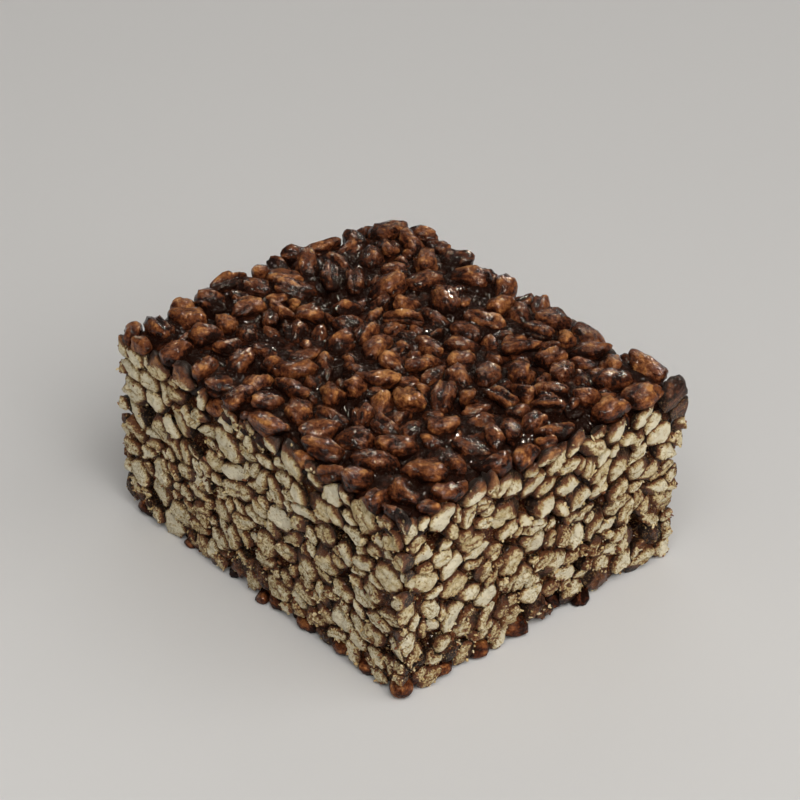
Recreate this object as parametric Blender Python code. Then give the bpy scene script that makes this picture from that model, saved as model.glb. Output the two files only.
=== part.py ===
"""Chocolate puffed wheat square: a block of puffed grains pressed together in dark syrup and cut with
a knife.  Lengths in this file are in millimetres until the mesh is made, which is in metres.
+Z is up, the origin is at the bottom centre, X runs along the longer side of the square and the
front corner of the photograph is at +X, -Y."""

import bmesh
import bpy
import numpy as np

LENGTH = 76.0
WIDTH = 63.7
CREST = 39.0
CUT_TOP = 35.0
CORE_INSET = 0.7
CORE_DROP = 2.3
CORE_CORNER = 1.1
FACET_SWELL = 1.1
CENTRE_X = 0.48
CENTRE_Y = 0.0
CONTACT_GAP = 0.36
MILLIMETRE = 0.001
SEED = 11

HALF_X = LENGTH / 2
HALF_Y = WIDTH / 2

# Grains that stand out on the top, read by eye: x, y, half length, half width, heading in degrees
TOP_GRAINS = [
    (-38, -8, 4.0, 1.8, 70), (-33, 26, 4.6, 2.4, 70), (-28, 31, 4.0, 2.5, 50), (-25, -22, 3.0, 2.5, 55),
    (-26, 7, 4.7, 1.5, -35), (-23, 10, 5.0, 2.0, -40), (-23, -7, 4.1, 1.3, 0), (-27, -11, 3.7, 1.8, 70),
    (-15, -17, 3.1, 2.4, 20), (-7, -17, 5.4, 2.0, 45), (-3, -21, 4.4, 1.6, 10), (-15, 20, 4.1, 2.2, 70),
    (2, 19, 4.4, 2.4, 15), (-7, 8, 3.8, 1.3, 40), (3, 13, 3.6, 1.8, 5), (21, 26, 3.8, 1.6, 50),
    (31, 30, 5.4, 2.6, 0), (30, 8, 4.4, 1.5, 30), (38, 23, 4.1, 2.4, 65), (36, 16, 3.6, 2.2, 75),
    (4, -8, 4.2, 1.5, 35), (11, -17, 3.1, 2.2, -40), (6, 1, 4.1, 1.5, 75), (22, 4, 3.8, 1.5, 5),
    (13, 17, 3.6, 1.3, 65), (22, -9, 3.2, 2.2, 55), (30, -1, 3.5, 2.0, -40), (35, 5, 3.7, 1.6, 60),
    (14, -28, 3.5, 2.0, 20), (22, -24, 4.2, 2.6, 35), (2, -30, 5.4, 1.8, 10), (30, -20, 3.8, 2.0, 40),
    (-7, -29, 3.3, 2.2, 80), (-38, 14, 3.8, 1.8, 80), (19, 19, 3.2, 2.2, 80), (33, -27, 3.1, 1.8, 0),
]

# Cut grains that stand out on the front and right faces, read by eye: distance along the face towards
# the front corner, height, half length, half width, slope in degrees
FRONT_CUTS = [
    (-35, 26, 4.8, 3.0, 5), (-30, 30, 2.5, 1.8, 10), (-22, 31, 2.5, 1.5, 0), (-21, 26, 3.5, 2.3, -55),
    (-20, 35, 3.4, 1.8, -20), (-27, 34, 2.8, 2.2, -40), (-8, 28, 4.0, 2.4, -15), (-6, 23, 3.0, 1.6, 0),
    (-5, 20, 4.4, 1.8, 10), (-1, 26, 2.2, 1.0, 70), (2, 26, 2.4, 1.0, 75), (0, 32, 1.7, 1.1, -60),
    (9, 33, 4.2, 2.0, -40), (20, 32, 2.3, 2.1, -40), (28, 32, 3.8, 3.2, -50), (35, 31, 2.6, 1.8, 55),
    (11, 22, 3.0, 1.5, 5), (10, 18, 4.4, 1.2, 25), (18, 23, 2.5, 2.4, -60), (18, 18, 2.8, 2.4, -30),
    (34, 23, 3.0, 2.4, -30), (30, 18, 3.1, 2.2, -20), (26, 27, 2.8, 1.1, -10), (2, 13, 2.2, 2.1, -30),
    (13, 14, 2.8, 2.0, -15), (-20, 16, 3.0, 1.6, 20), (-34, 9, 2.7, 2.4, -40), (-28, 8, 2.6, 2.3, -40),
    (-22, 6, 2.7, 2.4, -40), (-10, 13, 2.6, 2.0, -10), (-2, 3, 2.5, 2.2, -35), (-13, 3, 2.4, 1.5, 80),
    (32, 13, 3.6, 1.6, 0), (22, 8, 3.2, 2.0, -40), (36, 10, 2.4, 1.6, -50),
]
RIGHT_CUTS = [
    (-26, 28, 3.0, 2.4, -25), (-22, 23, 2.4, 1.9, -20), (-16, 33, 2.8, 2.1, -35), (-13, 23, 2.4, 1.6, -45),
    (-8, 23, 3.1, 2.7, -35), (-10, 29, 2.0, 1.5, -70), (-5, 27, 2.5, 2.0, -25), (-5, 31, 3.1, 1.1, -10),
    (3, 31, 3.5, 1.6, -40), (9, 27, 3.6, 2.6, -25), (8, 24, 2.5, 1.5, -30), (12, 34, 3.2, 1.1, 75),
    (17, 31, 2.2, 1.8, -45), (23, 33, 2.8, 2.4, -45), (28, 30, 1.7, 1.5, 0), (16, 25, 2.8, 1.7, -10),
    (23, 25, 2.0, 1.3, -15), (27, 22, 4.4, 1.8, 20), (20, 18, 3.2, 2.7, -30), (7, 17, 2.9, 2.6, -40),
    (13, 18, 1.9, 1.7, -35), (1, 18, 2.6, 2.0, -60), (-8, 15, 2.5, 2.0, -35), (-3, 12, 3.2, 1.6, -35),
    (12, 12, 2.6, 2.1, -30), (20, 12, 3.0, 2.3, -30), (30, 17, 3.0, 2.0, -55), (30, 11, 2.5, 2.0, -45),
    (2, 8, 3.1, 1.5, 12), (-14, 3, 3.5, 1.8, 20), (7, 5, 2.3, 1.9, -25), (22, 7, 2.4, 1.4, 10),
    (28, 6, 2.0, 1.1, 10), (-30, 12, 2.8, 2.3, -35), (-28, 6, 2.8, 1.9, 60), (-27, 17, 3.4, 1.2, 8),
]

# Glazed grains that stand out along the bottom edge, read by eye: as for the top
LOW_GRAINS = [
    (35.4, -29.4, 3.0, 2.4, -45), (35.6, -21.5, 3.0, 2.1, 80), (35.8, -13, 3.2, 2.0, 85),
    (35.8, -4.5, 2.8, 2.1, 75), (35.6, 12.5, 3.0, 2.2, 80), (28, -29.6, 2.8, 2.1, 5),
    (20.5, -29.8, 2.6, 2.0, -10), (12, -29.6, 2.8, 2.0, 8), (4, -29.8, 2.4, 1.9, -5), (-33, -29.6, 2.8, 2.0, 5),
]

# Dark gaps between the grains, read by eye: x, y, radius on the top, and distance along the face,
# height, radius on the front and right faces
TOP_GAPS = [(-20, 4, 3.4), (-31, -15, 2.4), (35, 10, 2.4), (-3, 15, 2.0), (7, -17, 1.9), (-2, -12, 2.2),
            (-4, 25, 1.6), (-11, -22, 1.6)]
FRONT_GAPS = [(-16, 24, 2.2), (-31, 22, 1.7), (-18, 32, 1.2), (-12, 17, 1.2), (23, 17, 1.3), (21, 25, 1.0),
              (25, 25, 0.9), (-3, 8, 1.1), (7, 11, 1.1), (14, 31, 0.9), (-30, 5, 1.2), (34, 8, 1.1)]
RIGHT_GAPS = [(-24, 8, 1.9), (-22, 12, 1.2), (-10, 9, 1.1), (24, 29, 1.3), (25, 9, 1.4), (8, 21, 1.2),
              (7, 31, 1.0), (-14, 20, 1.1), (-4, 20, 0.9), (-25, 25, 1.0), (3, 27, 0.9), (-4, 4, 1.3),
              (3, 4, 1.1)]
HIDDEN_GAPS = 13

UP = np.array((0.0, 0.0, 1.0))
# The four knife faces: outward direction, direction along the face, half width of the face
FACES = [(np.array((0.0, -1.0, 0.0)), np.array((1.0, 0.0, 0.0)), HALF_Y, HALF_X),
         (np.array((1.0, 0.0, 0.0)), np.array((0.0, -1.0, 0.0)), HALF_X, HALF_Y),
         (np.array((0.0, 1.0, 0.0)), np.array((1.0, 0.0, 0.0)), HALF_Y, HALF_X),
         (np.array((-1.0, 0.0, 0.0)), np.array((0.0, -1.0, 0.0)), HALF_X, HALF_Y)]
TOP, UNDER_TOP, SIDE, BOTTOM = 0, 1, 2, 6

# Sizes drawn for each region: half length, half width, number of tries, overlap allowed, depth
TOP_DRAWS = [(4.1, 2.45, 300, 0.30, 0.0), (3.4, 2.05, 1000, 0.32, 0.3), (2.6, 1.6, 1400, 0.36, 0.8),
             (3.6, 2.2, 1600, 0.42, 3.4), (1.9, 1.2, 1000, 0.40, 1.4)]
SIDE_DRAWS = [(3.5, 1.8, 60, 0.28), (3.0, 1.5, 300, 0.30), (2.5, 1.25, 900, 0.33), (1.9, 1.0, 1300, 0.36),
              (1.3, 0.8, 1800, 0.38)]
BOTTOM_DRAWS = [(3.7, 2.2, 700, 0.30), (2.8, 1.8, 1100, 0.34), (2.0, 1.4, 1400, 0.36)]


def crest_height(x, y):
    """Height of the highest grains: a plane, a swelling by the left edge, a worn back corner and
    edges that fall away."""
    level = CREST + 0.4 * y / HALF_Y - 0.35 * x / HALF_X
    level = level + 1.1 * np.exp(-((x + HALF_X) ** 2 + (y + 12.0) ** 2) / 450.0)
    level = level - 2.4 * np.exp(-((x + HALF_X) ** 2 + (y - HALF_Y) ** 2) / 40.0)
    edge = np.clip(np.minimum(HALF_X - abs(x), HALF_Y - abs(y)), 0.0, None)
    return level - 0.9 * np.exp(-(edge / 2.4) ** 2)


def knife_offset(face, along, height):
    """How far out a knife face stands: flat, but the right one leans out at the top of its far end."""
    lean = 1.1 * (HALF_Y - along) / WIDTH * (height / 17.0 - 1.0)
    return FACES[face][2] + (lean if face == 1 else 0.0)


def grain_axes(long_axis, normal, lift, roll):
    """Three rows: the long, wide and thick axes of a grain that lies in the plane of the normal, lifted
    out of it and rolled about its length."""
    a = long_axis * np.cos(lift) + normal * np.sin(lift)
    a = a / np.linalg.norm(a)
    w = np.cross(normal, a)
    w = w / np.linalg.norm(w)
    t = np.cross(a, w)
    return np.stack([a, np.cos(roll) * w + np.sin(roll) * t, np.cos(roll) * t - np.sin(roll) * w])


class Heap:
    """Grains laid so far: each an ellipsoid with a centre, three axes and three half lengths."""

    def __init__(self):
        self.centre = np.zeros((2500, 3))
        self.axes = np.zeros((2500, 3, 3))
        self.half = np.ones((2500, 3))
        self.region = np.zeros(2500, int)
        self.count = 0

    def has_room(self, centre, axes, half, allowed):
        """True where the new grain overlaps none of the others by more than the allowed share of the
        smaller radius, both measured on the line between the centres."""
        n = self.count
        gap = self.centre[:n] - centre
        dist = np.sqrt((gap * gap).sum(1))
        near = np.nonzero(dist < self.half[:n].max(1, initial=0.0) + half.max())[0]
        if len(near) == 0:
            return True
        dist = dist[near]
        if dist.min() < 0.4:
            return False
        u = gap[near] / dist[:, None]
        mine = 1.0 / np.sqrt((((u @ axes.T) / half) ** 2).sum(1))
        local = np.einsum("nij,nj->ni", self.axes[near], u) / self.half[near]
        theirs = 1.0 / np.sqrt((local * local).sum(1))
        return bool((mine + theirs - dist < allowed * np.minimum(mine, theirs)).all())

    def lay(self, centre, axes, half, region, allowed=None):
        """Lay a grain, where there is room for it if an allowed overlap is given."""
        if allowed is not None and not self.has_room(centre, axes, half, allowed):
            return
        k = self.count
        self.centre[k], self.axes[k], self.half[k], self.region[k] = centre, axes, half, region
        self.count += 1


def lay_section(heap, rng, face, along, height, a, b, slope, allowed=None):
    """A grain the knife went through: its cut face has half axes a and b on the plane of the face."""
    normal, side, _, _ = FACES[face]
    depth = rng.uniform(1.5, 2.4) * (0.6 + 0.16 * max(a, b))
    inward = rng.uniform(0.05, 0.45)
    grown = 1.0 / np.sqrt(1.0 - inward * inward)
    heading = np.cos(slope) * side + np.sin(slope) * UP
    axes = grain_axes(heading, normal, rng.normal(0.0, 0.14), rng.normal(0.0, 0.18))
    centre = normal * (knife_offset(face, along, height) - inward * depth) + side * along + UP * height
    heap.lay(centre, axes, np.array((a * grown, b * grown, depth)), SIDE + face, allowed)


def lay_flat(heap, rng, x, y, z, half, heading, tilt, region, allowed):
    """A whole grain lying down, with its long axis along the heading."""
    ahead = np.array((np.cos(heading), np.sin(heading), 0.0))
    axes = grain_axes(ahead, UP, rng.normal(0.0, tilt), rng.normal(0.0, 0.22))
    heap.lay(np.array((x, y, z)), axes, half, region, allowed)


def side_gaps():
    """The gaps of each knife face: the listed ones, and drawn ones on the back and left faces."""
    rng = np.random.default_rng(SEED + 4)
    gaps = [FRONT_GAPS, RIGHT_GAPS]
    for _, _, _, half in FACES[2:]:
        gaps.append([(rng.uniform(-0.9, 0.9) * half, rng.uniform(3.0, 31.0), rng.uniform(0.9, 1.9))
                     for _ in range(HIDDEN_GAPS)])
    return gaps


def in_gap(gaps, first, second, margin):
    """True where a place on a face lies in one of its gaps, or nearer to it than the margin."""
    return any((first - u) ** 2 + (second - v) ** 2 < (r + margin) ** 2 for u, v, r in gaps)


def lay_grains():
    """Lay the listed grains first, then drawn ones of falling size wherever there is room."""
    rng = np.random.default_rng(SEED)
    heap = Heap()
    for face, cuts in ((0, FRONT_CUTS), (1, RIGHT_CUTS)):
        for along, height, a, b, slope in cuts:
            lay_section(heap, rng, face, along, height, a, b, np.radians(slope))
    for x, y, a, b, heading in TOP_GRAINS:
        x = np.clip(x, b * 0.75 - HALF_X, HALF_X - b * 0.75)
        y = np.clip(y, b * 0.75 - HALF_Y, HALF_Y - b * 0.75)
        z = crest_height(x, y) - 0.94 * b - abs(rng.normal(0.0, 0.25)) - 0.25 * (2.2 - b)
        lay_flat(heap, rng, x, y, z, np.array((a, b, 0.94 * b)), np.radians(heading), 0.09, TOP, 0.75)
    for x, y, a, b, heading in LOW_GRAINS:
        lay_flat(heap, rng, x, y, 0.85 * b, np.array((a, b, 0.9 * b)), np.radians(heading), 0.06, BOTTOM, 0.9)
    for a0, b0, tries, allowed, deep in TOP_DRAWS:
        for _ in range(tries):
            a, b, flat = a0 * rng.uniform(0.88, 1.15), b0 * rng.uniform(0.88, 1.12), rng.uniform(0.88, 1.0)
            x = rng.uniform(-1.0, 1.0) * (HALF_X - 0.8 * b)
            y = rng.uniform(-1.0, 1.0) * (HALF_Y - 0.8 * b)
            z = crest_height(x, y) - b * flat - deep - abs(rng.normal(0.0, 0.6))
            heading = np.radians(rng.normal(42.0, 62.0))
            if deep < 3.0 and in_gap(TOP_GAPS, x, y, 0.0):
                continue
            region = TOP if deep < 3.0 else UNDER_TOP
            lay_flat(heap, rng, x, y, z, np.array((a, b, b * flat)), heading, 0.26, region, allowed)
    for face, gaps in enumerate(side_gaps()):
        for a0, b0, tries, allowed in SIDE_DRAWS:
            for _ in range(tries):
                along = rng.uniform(-1.0, 1.0) * FACES[face][3]
                height, slope = rng.uniform(1.9, CUT_TOP), np.radians(rng.normal(-26.0, 30.0))
                a, b = a0 * rng.uniform(0.8, 1.2), b0 * rng.uniform(0.8, 1.15)
                if not in_gap(gaps, along, height, 0.9 * b):
                    lay_section(heap, rng, face, along, height, a, b, slope, allowed)
    for a0, b0, tries, allowed in BOTTOM_DRAWS:
        for _ in range(tries):
            a, b, flat = a0 * rng.uniform(0.85, 1.15), b0 * rng.uniform(0.85, 1.15), rng.uniform(0.85, 1.0)
            x, y = rng.uniform(-1.0, 1.0) * (HALF_X - 0.5 * b), rng.uniform(-1.0, 1.0) * (HALF_Y - 0.5 * b)
            z, heading = b * flat * rng.uniform(0.45, 0.8), rng.uniform(0.0, np.pi)
            lay_flat(heap, rng, x, y, z, np.array((a, b, b * flat)), heading, 0.15, BOTTOM, allowed)
    return heap


def contact_planes(heap, most=18):
    """For each grain the planes that part it from its neighbours: through the point on the line of
    centres where both ellipsoids measure the same, along the difference of their gradients there.
    Returns the outward directions and the distances from the grain's centre."""
    n = heap.count
    centre, axes, half = heap.centre[:n], heap.axes[:n], heap.half[:n]
    form = np.einsum("nki,nk,nkj->nij", axes, half ** -2.0, axes)
    directions, distances = np.zeros((n, most, 3)), np.full((n, most), 99.0)
    for i in range(n):
        gap = centre - centre[i]
        dist = np.sqrt((gap * gap).sum(1))
        dist[i] = 99.0
        near = np.nonzero(dist < half[i].max() + half.max(1))[0]
        u = gap[near] / dist[near, None]
        mine = 1.0 / np.sqrt(np.einsum("ni,ij,nj->n", u, form[i], u))
        theirs = 1.0 / np.sqrt(np.einsum("ni,nij,nj->n", u, form[near], u))
        order = np.argsort(dist[near] / (mine + theirs))[:most]
        near, u, mine, theirs = near[order], u[order], mine[order], theirs[order]
        middle = u * (dist[near] * mine / (mine + theirs))[:, None]
        slope = middle @ form[i] - np.einsum("nij,nj->ni", form[near], middle - gap[near])
        slope /= np.linalg.norm(slope, axis=1)[:, None]
        directions[i, :len(near)] = slope
        distances[i, :len(near)] = (slope * middle).sum(1) - CONTACT_GAP / 2
    return directions, distances


def cut_plane(heap, rng):
    """For each grain the plane that cuts it: the knife face it meets, a little tilted and set back, or
    the tray under a pressed grain.  Returns outward direction, distance from the centre, and whether
    the grain is cut at all."""
    n = heap.count
    direction, distance, cut = np.tile(UP, (n, 1)), np.full(n, 99.0), np.zeros(n, bool)
    for i in range(n):
        c, axes, half, region = heap.centre[i], heap.axes[i], heap.half[i], heap.region[i]
        tilt, back = rng.normal(0.0, 0.07, 3), abs(rng.normal(0.0, 0.2))
        if region == BOTTOM:
            direction[i], distance[i], cut[i] = -UP, c[2] - max(0.0, back - 0.2), True
            continue
        best = 0.25
        for face, (normal, side, _, _) in enumerate(FACES):
            if region >= SIDE and face != region - SIDE:
                continue
            reach = np.sqrt((((axes @ normal) * half) ** 2).sum())
            room = knife_offset(face, c @ side, c[2]) - c @ normal - back
            if reach - room > best:
                best = reach - room
                leaning = normal + tilt
                direction[i], distance[i], cut[i] = leaning / np.linalg.norm(leaning), room, True
    return direction, distance, cut


def walls(heap):
    """The knife faces and the tray as half spaces for every grain: directions, distances."""
    n = heap.count
    centre = heap.centre[:n]
    directions = np.stack([f[0] for f in FACES] + [-UP])
    distances = np.zeros((n, 5))
    for face, (normal, side, _, _) in enumerate(FACES):
        lean = 1.1 * (HALF_Y - centre @ side) / WIDTH * (centre[:, 2] / 17.0 - 1.0)
        distances[:, face] = FACES[face][2] + (lean if face == 1 else 0.0) - centre @ normal + 0.02
    distances[:, 4] = centre[:, 2]
    return np.broadcast_to(directions, (n, 5, 3)), distances


def reach(heap, pick, origin, rays, planes):
    """How far the surface of each picked grain lies from its origin along each ray: the way out of the
    ellipsoid or through the nearest plane, whichever comes first."""
    axes, half = heap.axes[pick], heap.half[pick] * FACET_SWELL
    local = np.einsum("nij,nmj->nmi", axes, rays) / half[:, None]
    start = np.einsum("nij,nj->ni", axes, origin) / half
    a = (local * local).sum(2)
    b = (local * start[:, None]).sum(2)
    c = (start * start).sum(1)[:, None] - 1.0
    way = (np.sqrt(np.maximum(b * b - a * c, 0.0)) - b) / a
    for directions, distances in planes:
        room = distances - np.einsum("nkj,nj->nk", directions, origin)
        room = np.maximum(room, 0.12)
        facing = np.einsum("nkj,nmj->nmk", directions, rays)
        out = np.where(facing > 1e-4, room[:, None] / np.maximum(facing, 1e-4), 99.0)
        way = np.minimum(way, out.min(2))
    return way


def plane_basis(normal, long_axis):
    """Two directions across the normal, the first as near the long axis as it can be."""
    first = long_axis - (long_axis * normal).sum(1)[:, None] * normal
    first = first / np.linalg.norm(first, axis=1)[:, None]
    return first, np.cross(normal, first)


def section_middle(heap, pick, normal, distance):
    """The middle of the ellipse in which the cutting plane meets each ellipsoid, from the centre."""
    axes, half = heap.axes[pick], heap.half[pick]
    spread = np.einsum("nki,nk,nkj->nij", axes, half ** 2.0, axes)
    across = np.einsum("nij,nj->ni", spread, normal)
    size = (across * normal).sum(1)
    share = np.clip(distance / np.sqrt(size), -0.9, 0.9)
    return across * (share / np.sqrt(size))[:, None]


def cut_shells(heap, pick, planes, cut, around, down):
    """Closed shells of cut grains: a flat cap on the cutting plane, then rings that turn from the plane
    to the grain's back.  Returns points (grain, ring, around) and the two poles."""
    normal, distance = cut[0][pick], cut[1][pick]
    origin = section_middle(heap, pick, normal, distance)
    e1, e2 = plane_basis(normal, heap.axes[pick, 0])
    turn = np.arange(around) * (2.0 * np.pi / around) + 0.3
    ring = np.cos(turn)[None, :, None] * e1[:, None] + np.sin(turn)[None, :, None] * e2[:, None]
    held = [(p[0][pick], p[1][pick]) for p in planes]
    rings = []
    for k in range(down):
        dip = 0.5 * np.pi * k / down
        rays = np.cos(dip) * ring - np.sin(dip) * normal[:, None]
        rings.append(rays * reach(heap, pick, origin, rays, held)[:, :, None])
    back = -normal[:, None]
    pole = (back * reach(heap, pick, origin, back, held)[:, :, None])[:, 0]
    base = heap.centre[pick] + origin
    return base[:, None, None] + np.stack(rings, 1), base + pole


def whole_shells(heap, pick, planes, around, down):
    """Closed shells of whole grains: rings from one tip of the long axis to the other."""
    axes = heap.axes[pick]
    turn = np.arange(around) * (2.0 * np.pi / around)
    held = [(p[0][pick], p[1][pick]) for p in planes]
    origin = np.zeros((len(pick), 3))
    rings, tips = [], []
    for k in range(1, down):
        lean = np.pi * k / down
        # equal steps of angle on the ellipsoid itself, so that the rings are even along a long grain
        local = np.stack([np.full(around, np.cos(lean)), np.sin(lean) * np.cos(turn),
                          np.sin(lean) * np.sin(turn)], 1)
        rays = np.einsum("nki,nmk->nmi", axes, local[None] * heap.half[pick][:, None])
        rays /= np.linalg.norm(rays, axis=2)[:, :, None]
        rings.append(rays * reach(heap, pick, origin, rays, held)[:, :, None])
    for sign in (1.0, -1.0):
        ray = sign * axes[:, None, 0]
        tips.append((ray * reach(heap, pick, origin, ray, held)[:, :, None])[:, 0])
    base = heap.centre[pick]
    return base[:, None, None] + np.stack(rings, 1), base + tips[0], base + tips[1]


def faces_of_rings(points, first, last, flat_first):
    """Faces of one shell from its rings: a fan or one flat face at the first end, strips between the
    rings, a fan at the last end."""
    rings, around = points.shape[:2]
    verts = [tuple(p) for p in points.reshape(-1, 3)]
    faces = []
    for r in range(rings - 1):
        for j in range(around):
            k = (j + 1) % around
            faces.append((r * around + j, (r + 1) * around + j, (r + 1) * around + k, r * around + k))
    if flat_first:
        faces.append(tuple(range(around)))
    else:
        verts.append(tuple(first))
        faces += [(len(verts) - 1, j, (j + 1) % around) for j in range(around)]
    verts.append(tuple(last))
    low = (rings - 1) * around
    faces += [(len(verts) - 1, low + (j + 1) % around, low + j) for j in range(around)]
    return verts, faces


def new_object(name, verts, faces, material, holder):
    """A mesh object from points in millimetres, with its faces turned outwards."""
    mesh = bpy.data.meshes.new(name)
    points = (np.array(verts) - (CENTRE_X, CENTRE_Y, 0.0)) * MILLIMETRE
    mesh.from_pydata(points.tolist(), [], faces)
    mesh.materials.append(material)
    shape = bmesh.new()
    shape.from_mesh(mesh)
    bmesh.ops.triangulate(shape, faces=shape.faces)
    bmesh.ops.recalc_face_normals(shape, faces=shape.faces)
    shape.to_mesh(mesh)
    shape.free()
    made = bpy.data.objects.new(name, mesh)
    holder.objects.link(made)
    return made


# How many grains of each region the solid shows, largest first
SHOWN = {TOP: 128, SIDE: 60, SIDE + 1: 56, SIDE + 2: 36, SIDE + 3: 32}
TOP_CELLS = (14, 12)


def grid_steps(cells, span):
    """Even steps from -1 to 1 with one more close to each end, where the edge turns."""
    return np.concatenate([[-1.0], np.linspace(-1.0 + 2.4 / span, 1.0 - 2.4 / span, cells - 1), [1.0]])


def core_points():
    """The syrup core: a grid of points over the top, sunk below the crests and deeper in the gaps, and
    a border of points round the bottom.  The upright edges are taken back a little."""
    u, v = np.meshgrid(grid_steps(TOP_CELLS[0], HALF_X), grid_steps(TOP_CELLS[1], HALF_Y), indexing="ij")
    x, y = u * (HALF_X - CORE_INSET), v * (HALF_Y - CORE_INSET)
    corner = (abs(u) > 0.999) & (abs(v) > 0.999)
    x = np.where(corner, x - np.sign(x) * CORE_CORNER, x)
    y = np.where(corner, y - np.sign(y) * CORE_CORNER, y)
    crown = crest_height(x, y) - CORE_DROP
    for gx, gy, radius in TOP_GAPS:
        crown = crown - 2.4 * np.exp(-((x - gx) ** 2 + (y - gy) ** 2) / radius ** 2)
    crown = np.where(np.maximum(abs(u), abs(v)) > 0.999, crown - 1.5, crown)
    foot = np.zeros_like(crown)
    levels = []
    for z in (crown, foot):
        lean = 1.1 * (HALF_Y + y) / WIDTH * (z / 17.0 - 1.0)
        levels.append(np.stack([x + np.where(u > 0.999, lean, 0.0), y, z], 2))
    return levels


def core_mesh():
    """Vertices and faces of the core: triangles over the top, walls down its border, one flat bottom."""
    crown, foot = core_points()
    nu, nv = crown.shape[:2]
    verts = [tuple(p) for p in crown.reshape(-1, 3)]
    faces = []
    for i in range(nu - 1):
        for j in range(nv - 1):
            a, b, c, d = i * nv + j, (i + 1) * nv + j, (i + 1) * nv + j + 1, i * nv + j + 1
            faces += [(a, b, c), (a, c, d)]
    rim = [(i, 0) for i in range(nu)] + [(nu - 1, j) for j in range(1, nv)]
    rim += [(i, nv - 1) for i in range(nu - 2, -1, -1)] + [(0, j) for j in range(nv - 2, 0, -1)]
    start = len(verts)
    verts += [tuple(foot[i, j]) for i, j in rim]
    count = len(rim)
    for k in range(count):
        m = (k + 1) % count
        a, b = rim[k][0] * nv + rim[k][1], rim[m][0] * nv + rim[m][1]
        faces.append((a, start + k, start + m, b))
    faces.append(tuple(range(start + count - 1, start - 1, -1)))
    return verts, faces


def grain_material():
    """Dark syrup over puffed grain."""
    made = bpy.data.materials.new("syrup_grain")
    made.use_nodes = True
    shader = made.node_tree.nodes["Principled BSDF"]
    shader.inputs["Base Color"].default_value = (0.20, 0.12, 0.07, 1.0)
    shader.inputs["Roughness"].default_value = 0.45
    return made


def largest(heap, region, backs, heights):
    """The grains of a region to show: those that reach into the core, by the size of what shows."""
    n = heap.count
    inside = np.nonzero((heap.region[:n] == region) & backs)[0]
    size = np.sort(heap.half[inside], axis=1)[:, 1:].prod(1)
    if region == TOP:
        size = size - 0.6 * (crest_height(heap.centre[inside, 0], heap.centre[inside, 1]) - heights[inside])
    return inside[np.argsort(-size)][:SHOWN[region]]


def drop_scraps(block):
    """Keep the biggest connected body of the mesh and drop the loose ones."""
    shape = bmesh.new()
    shape.from_mesh(block.data)
    left, bodies = set(shape.verts), []
    while left:
        body, edge = set(), [left.pop()]
        while edge:
            vert = edge.pop()
            body.add(vert)
            for link in vert.link_edges:
                other = link.other_vert(vert)
                if other in left:
                    left.remove(other)
                    edge.append(other)
        bodies.append(body)
    bodies.sort(key=len)
    for body in bodies[:-1]:
        bmesh.ops.delete(shape, geom=list(body), context="VERTS")
    shape.to_mesh(block.data)
    shape.free()


def main():
    for item in list(bpy.data.objects):
        bpy.data.objects.remove(item, do_unlink=True)
    heap = lay_grains()
    cut = cut_plane(heap, np.random.default_rng(SEED + 1))
    planes = [contact_planes(heap), walls(heap)]
    n = heap.count
    heights = heap.centre[:n, 2] + np.sqrt(((heap.axes[:n, :, 2] * heap.half[:n]) ** 2).sum(1))
    side = np.abs(cut[0] @ UP) < 0.5
    thick = heap.half[:n, 2] + np.where(cut[2], cut[1], 0.0)
    backs = ~(side & cut[2]) | (thick > CORE_INSET + 0.35) & (heap.region[:n] >= SIDE) | (heap.region[:n] == TOP)
    material = grain_material()
    scene = bpy.context.scene.collection
    block = new_object("puffed_wheat_square", *core_mesh(), material, scene)
    holder = bpy.data.collections.new("grains")
    scene.children.link(holder)
    for region in SHOWN:
        pick = largest(heap, region, backs, heights)
        verts, faces = [], []
        for flag in (True, False):
            part = pick[cut[2][pick] == flag]
            if len(part) == 0:
                continue
            if flag:
                rings, last = cut_shells(heap, part, planes, cut, 6, 2 if region == TOP else 1)
                ends = zip(rings, [None] * len(part), last)
            else:
                rings, first, last = whole_shells(heap, part, planes, 6, 3)
                ends = zip(rings, first, last)
            for points, first, last in ends:
                v, f = faces_of_rings(points, first, last, flag)
                faces += [tuple(k + len(verts) for k in face) for face in f]
                verts += v
        new_object("grains_%d" % region, verts, faces, material, holder)
    union = block.modifiers.new("join", "BOOLEAN")
    union.operation = "UNION"
    union.solver = "EXACT"
    union.operand_type = "COLLECTION"
    union.collection = holder
    bpy.context.view_layer.objects.active = block
    block.select_set(True)
    bpy.ops.object.modifier_apply(modifier=union.name)
    for item in list(holder.objects):
        bpy.data.objects.remove(item, do_unlink=True)
    bpy.data.collections.remove(holder)
    drop_scraps(block)


main()
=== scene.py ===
"""Looks of the chocolate puffed wheat square: glazed whole grains on the top, knife-cut grains on the
four sides, pressed grains underneath, the dark syrup that holds them and the crumbs of the knife.
Lengths are in millimetres until a mesh is made, which is in metres.  +Z is up, X runs along the
longer side, and the corner nearest the camera is at +X, -Y."""

import bpy
import numpy as np
from mathutils import Matrix


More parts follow.
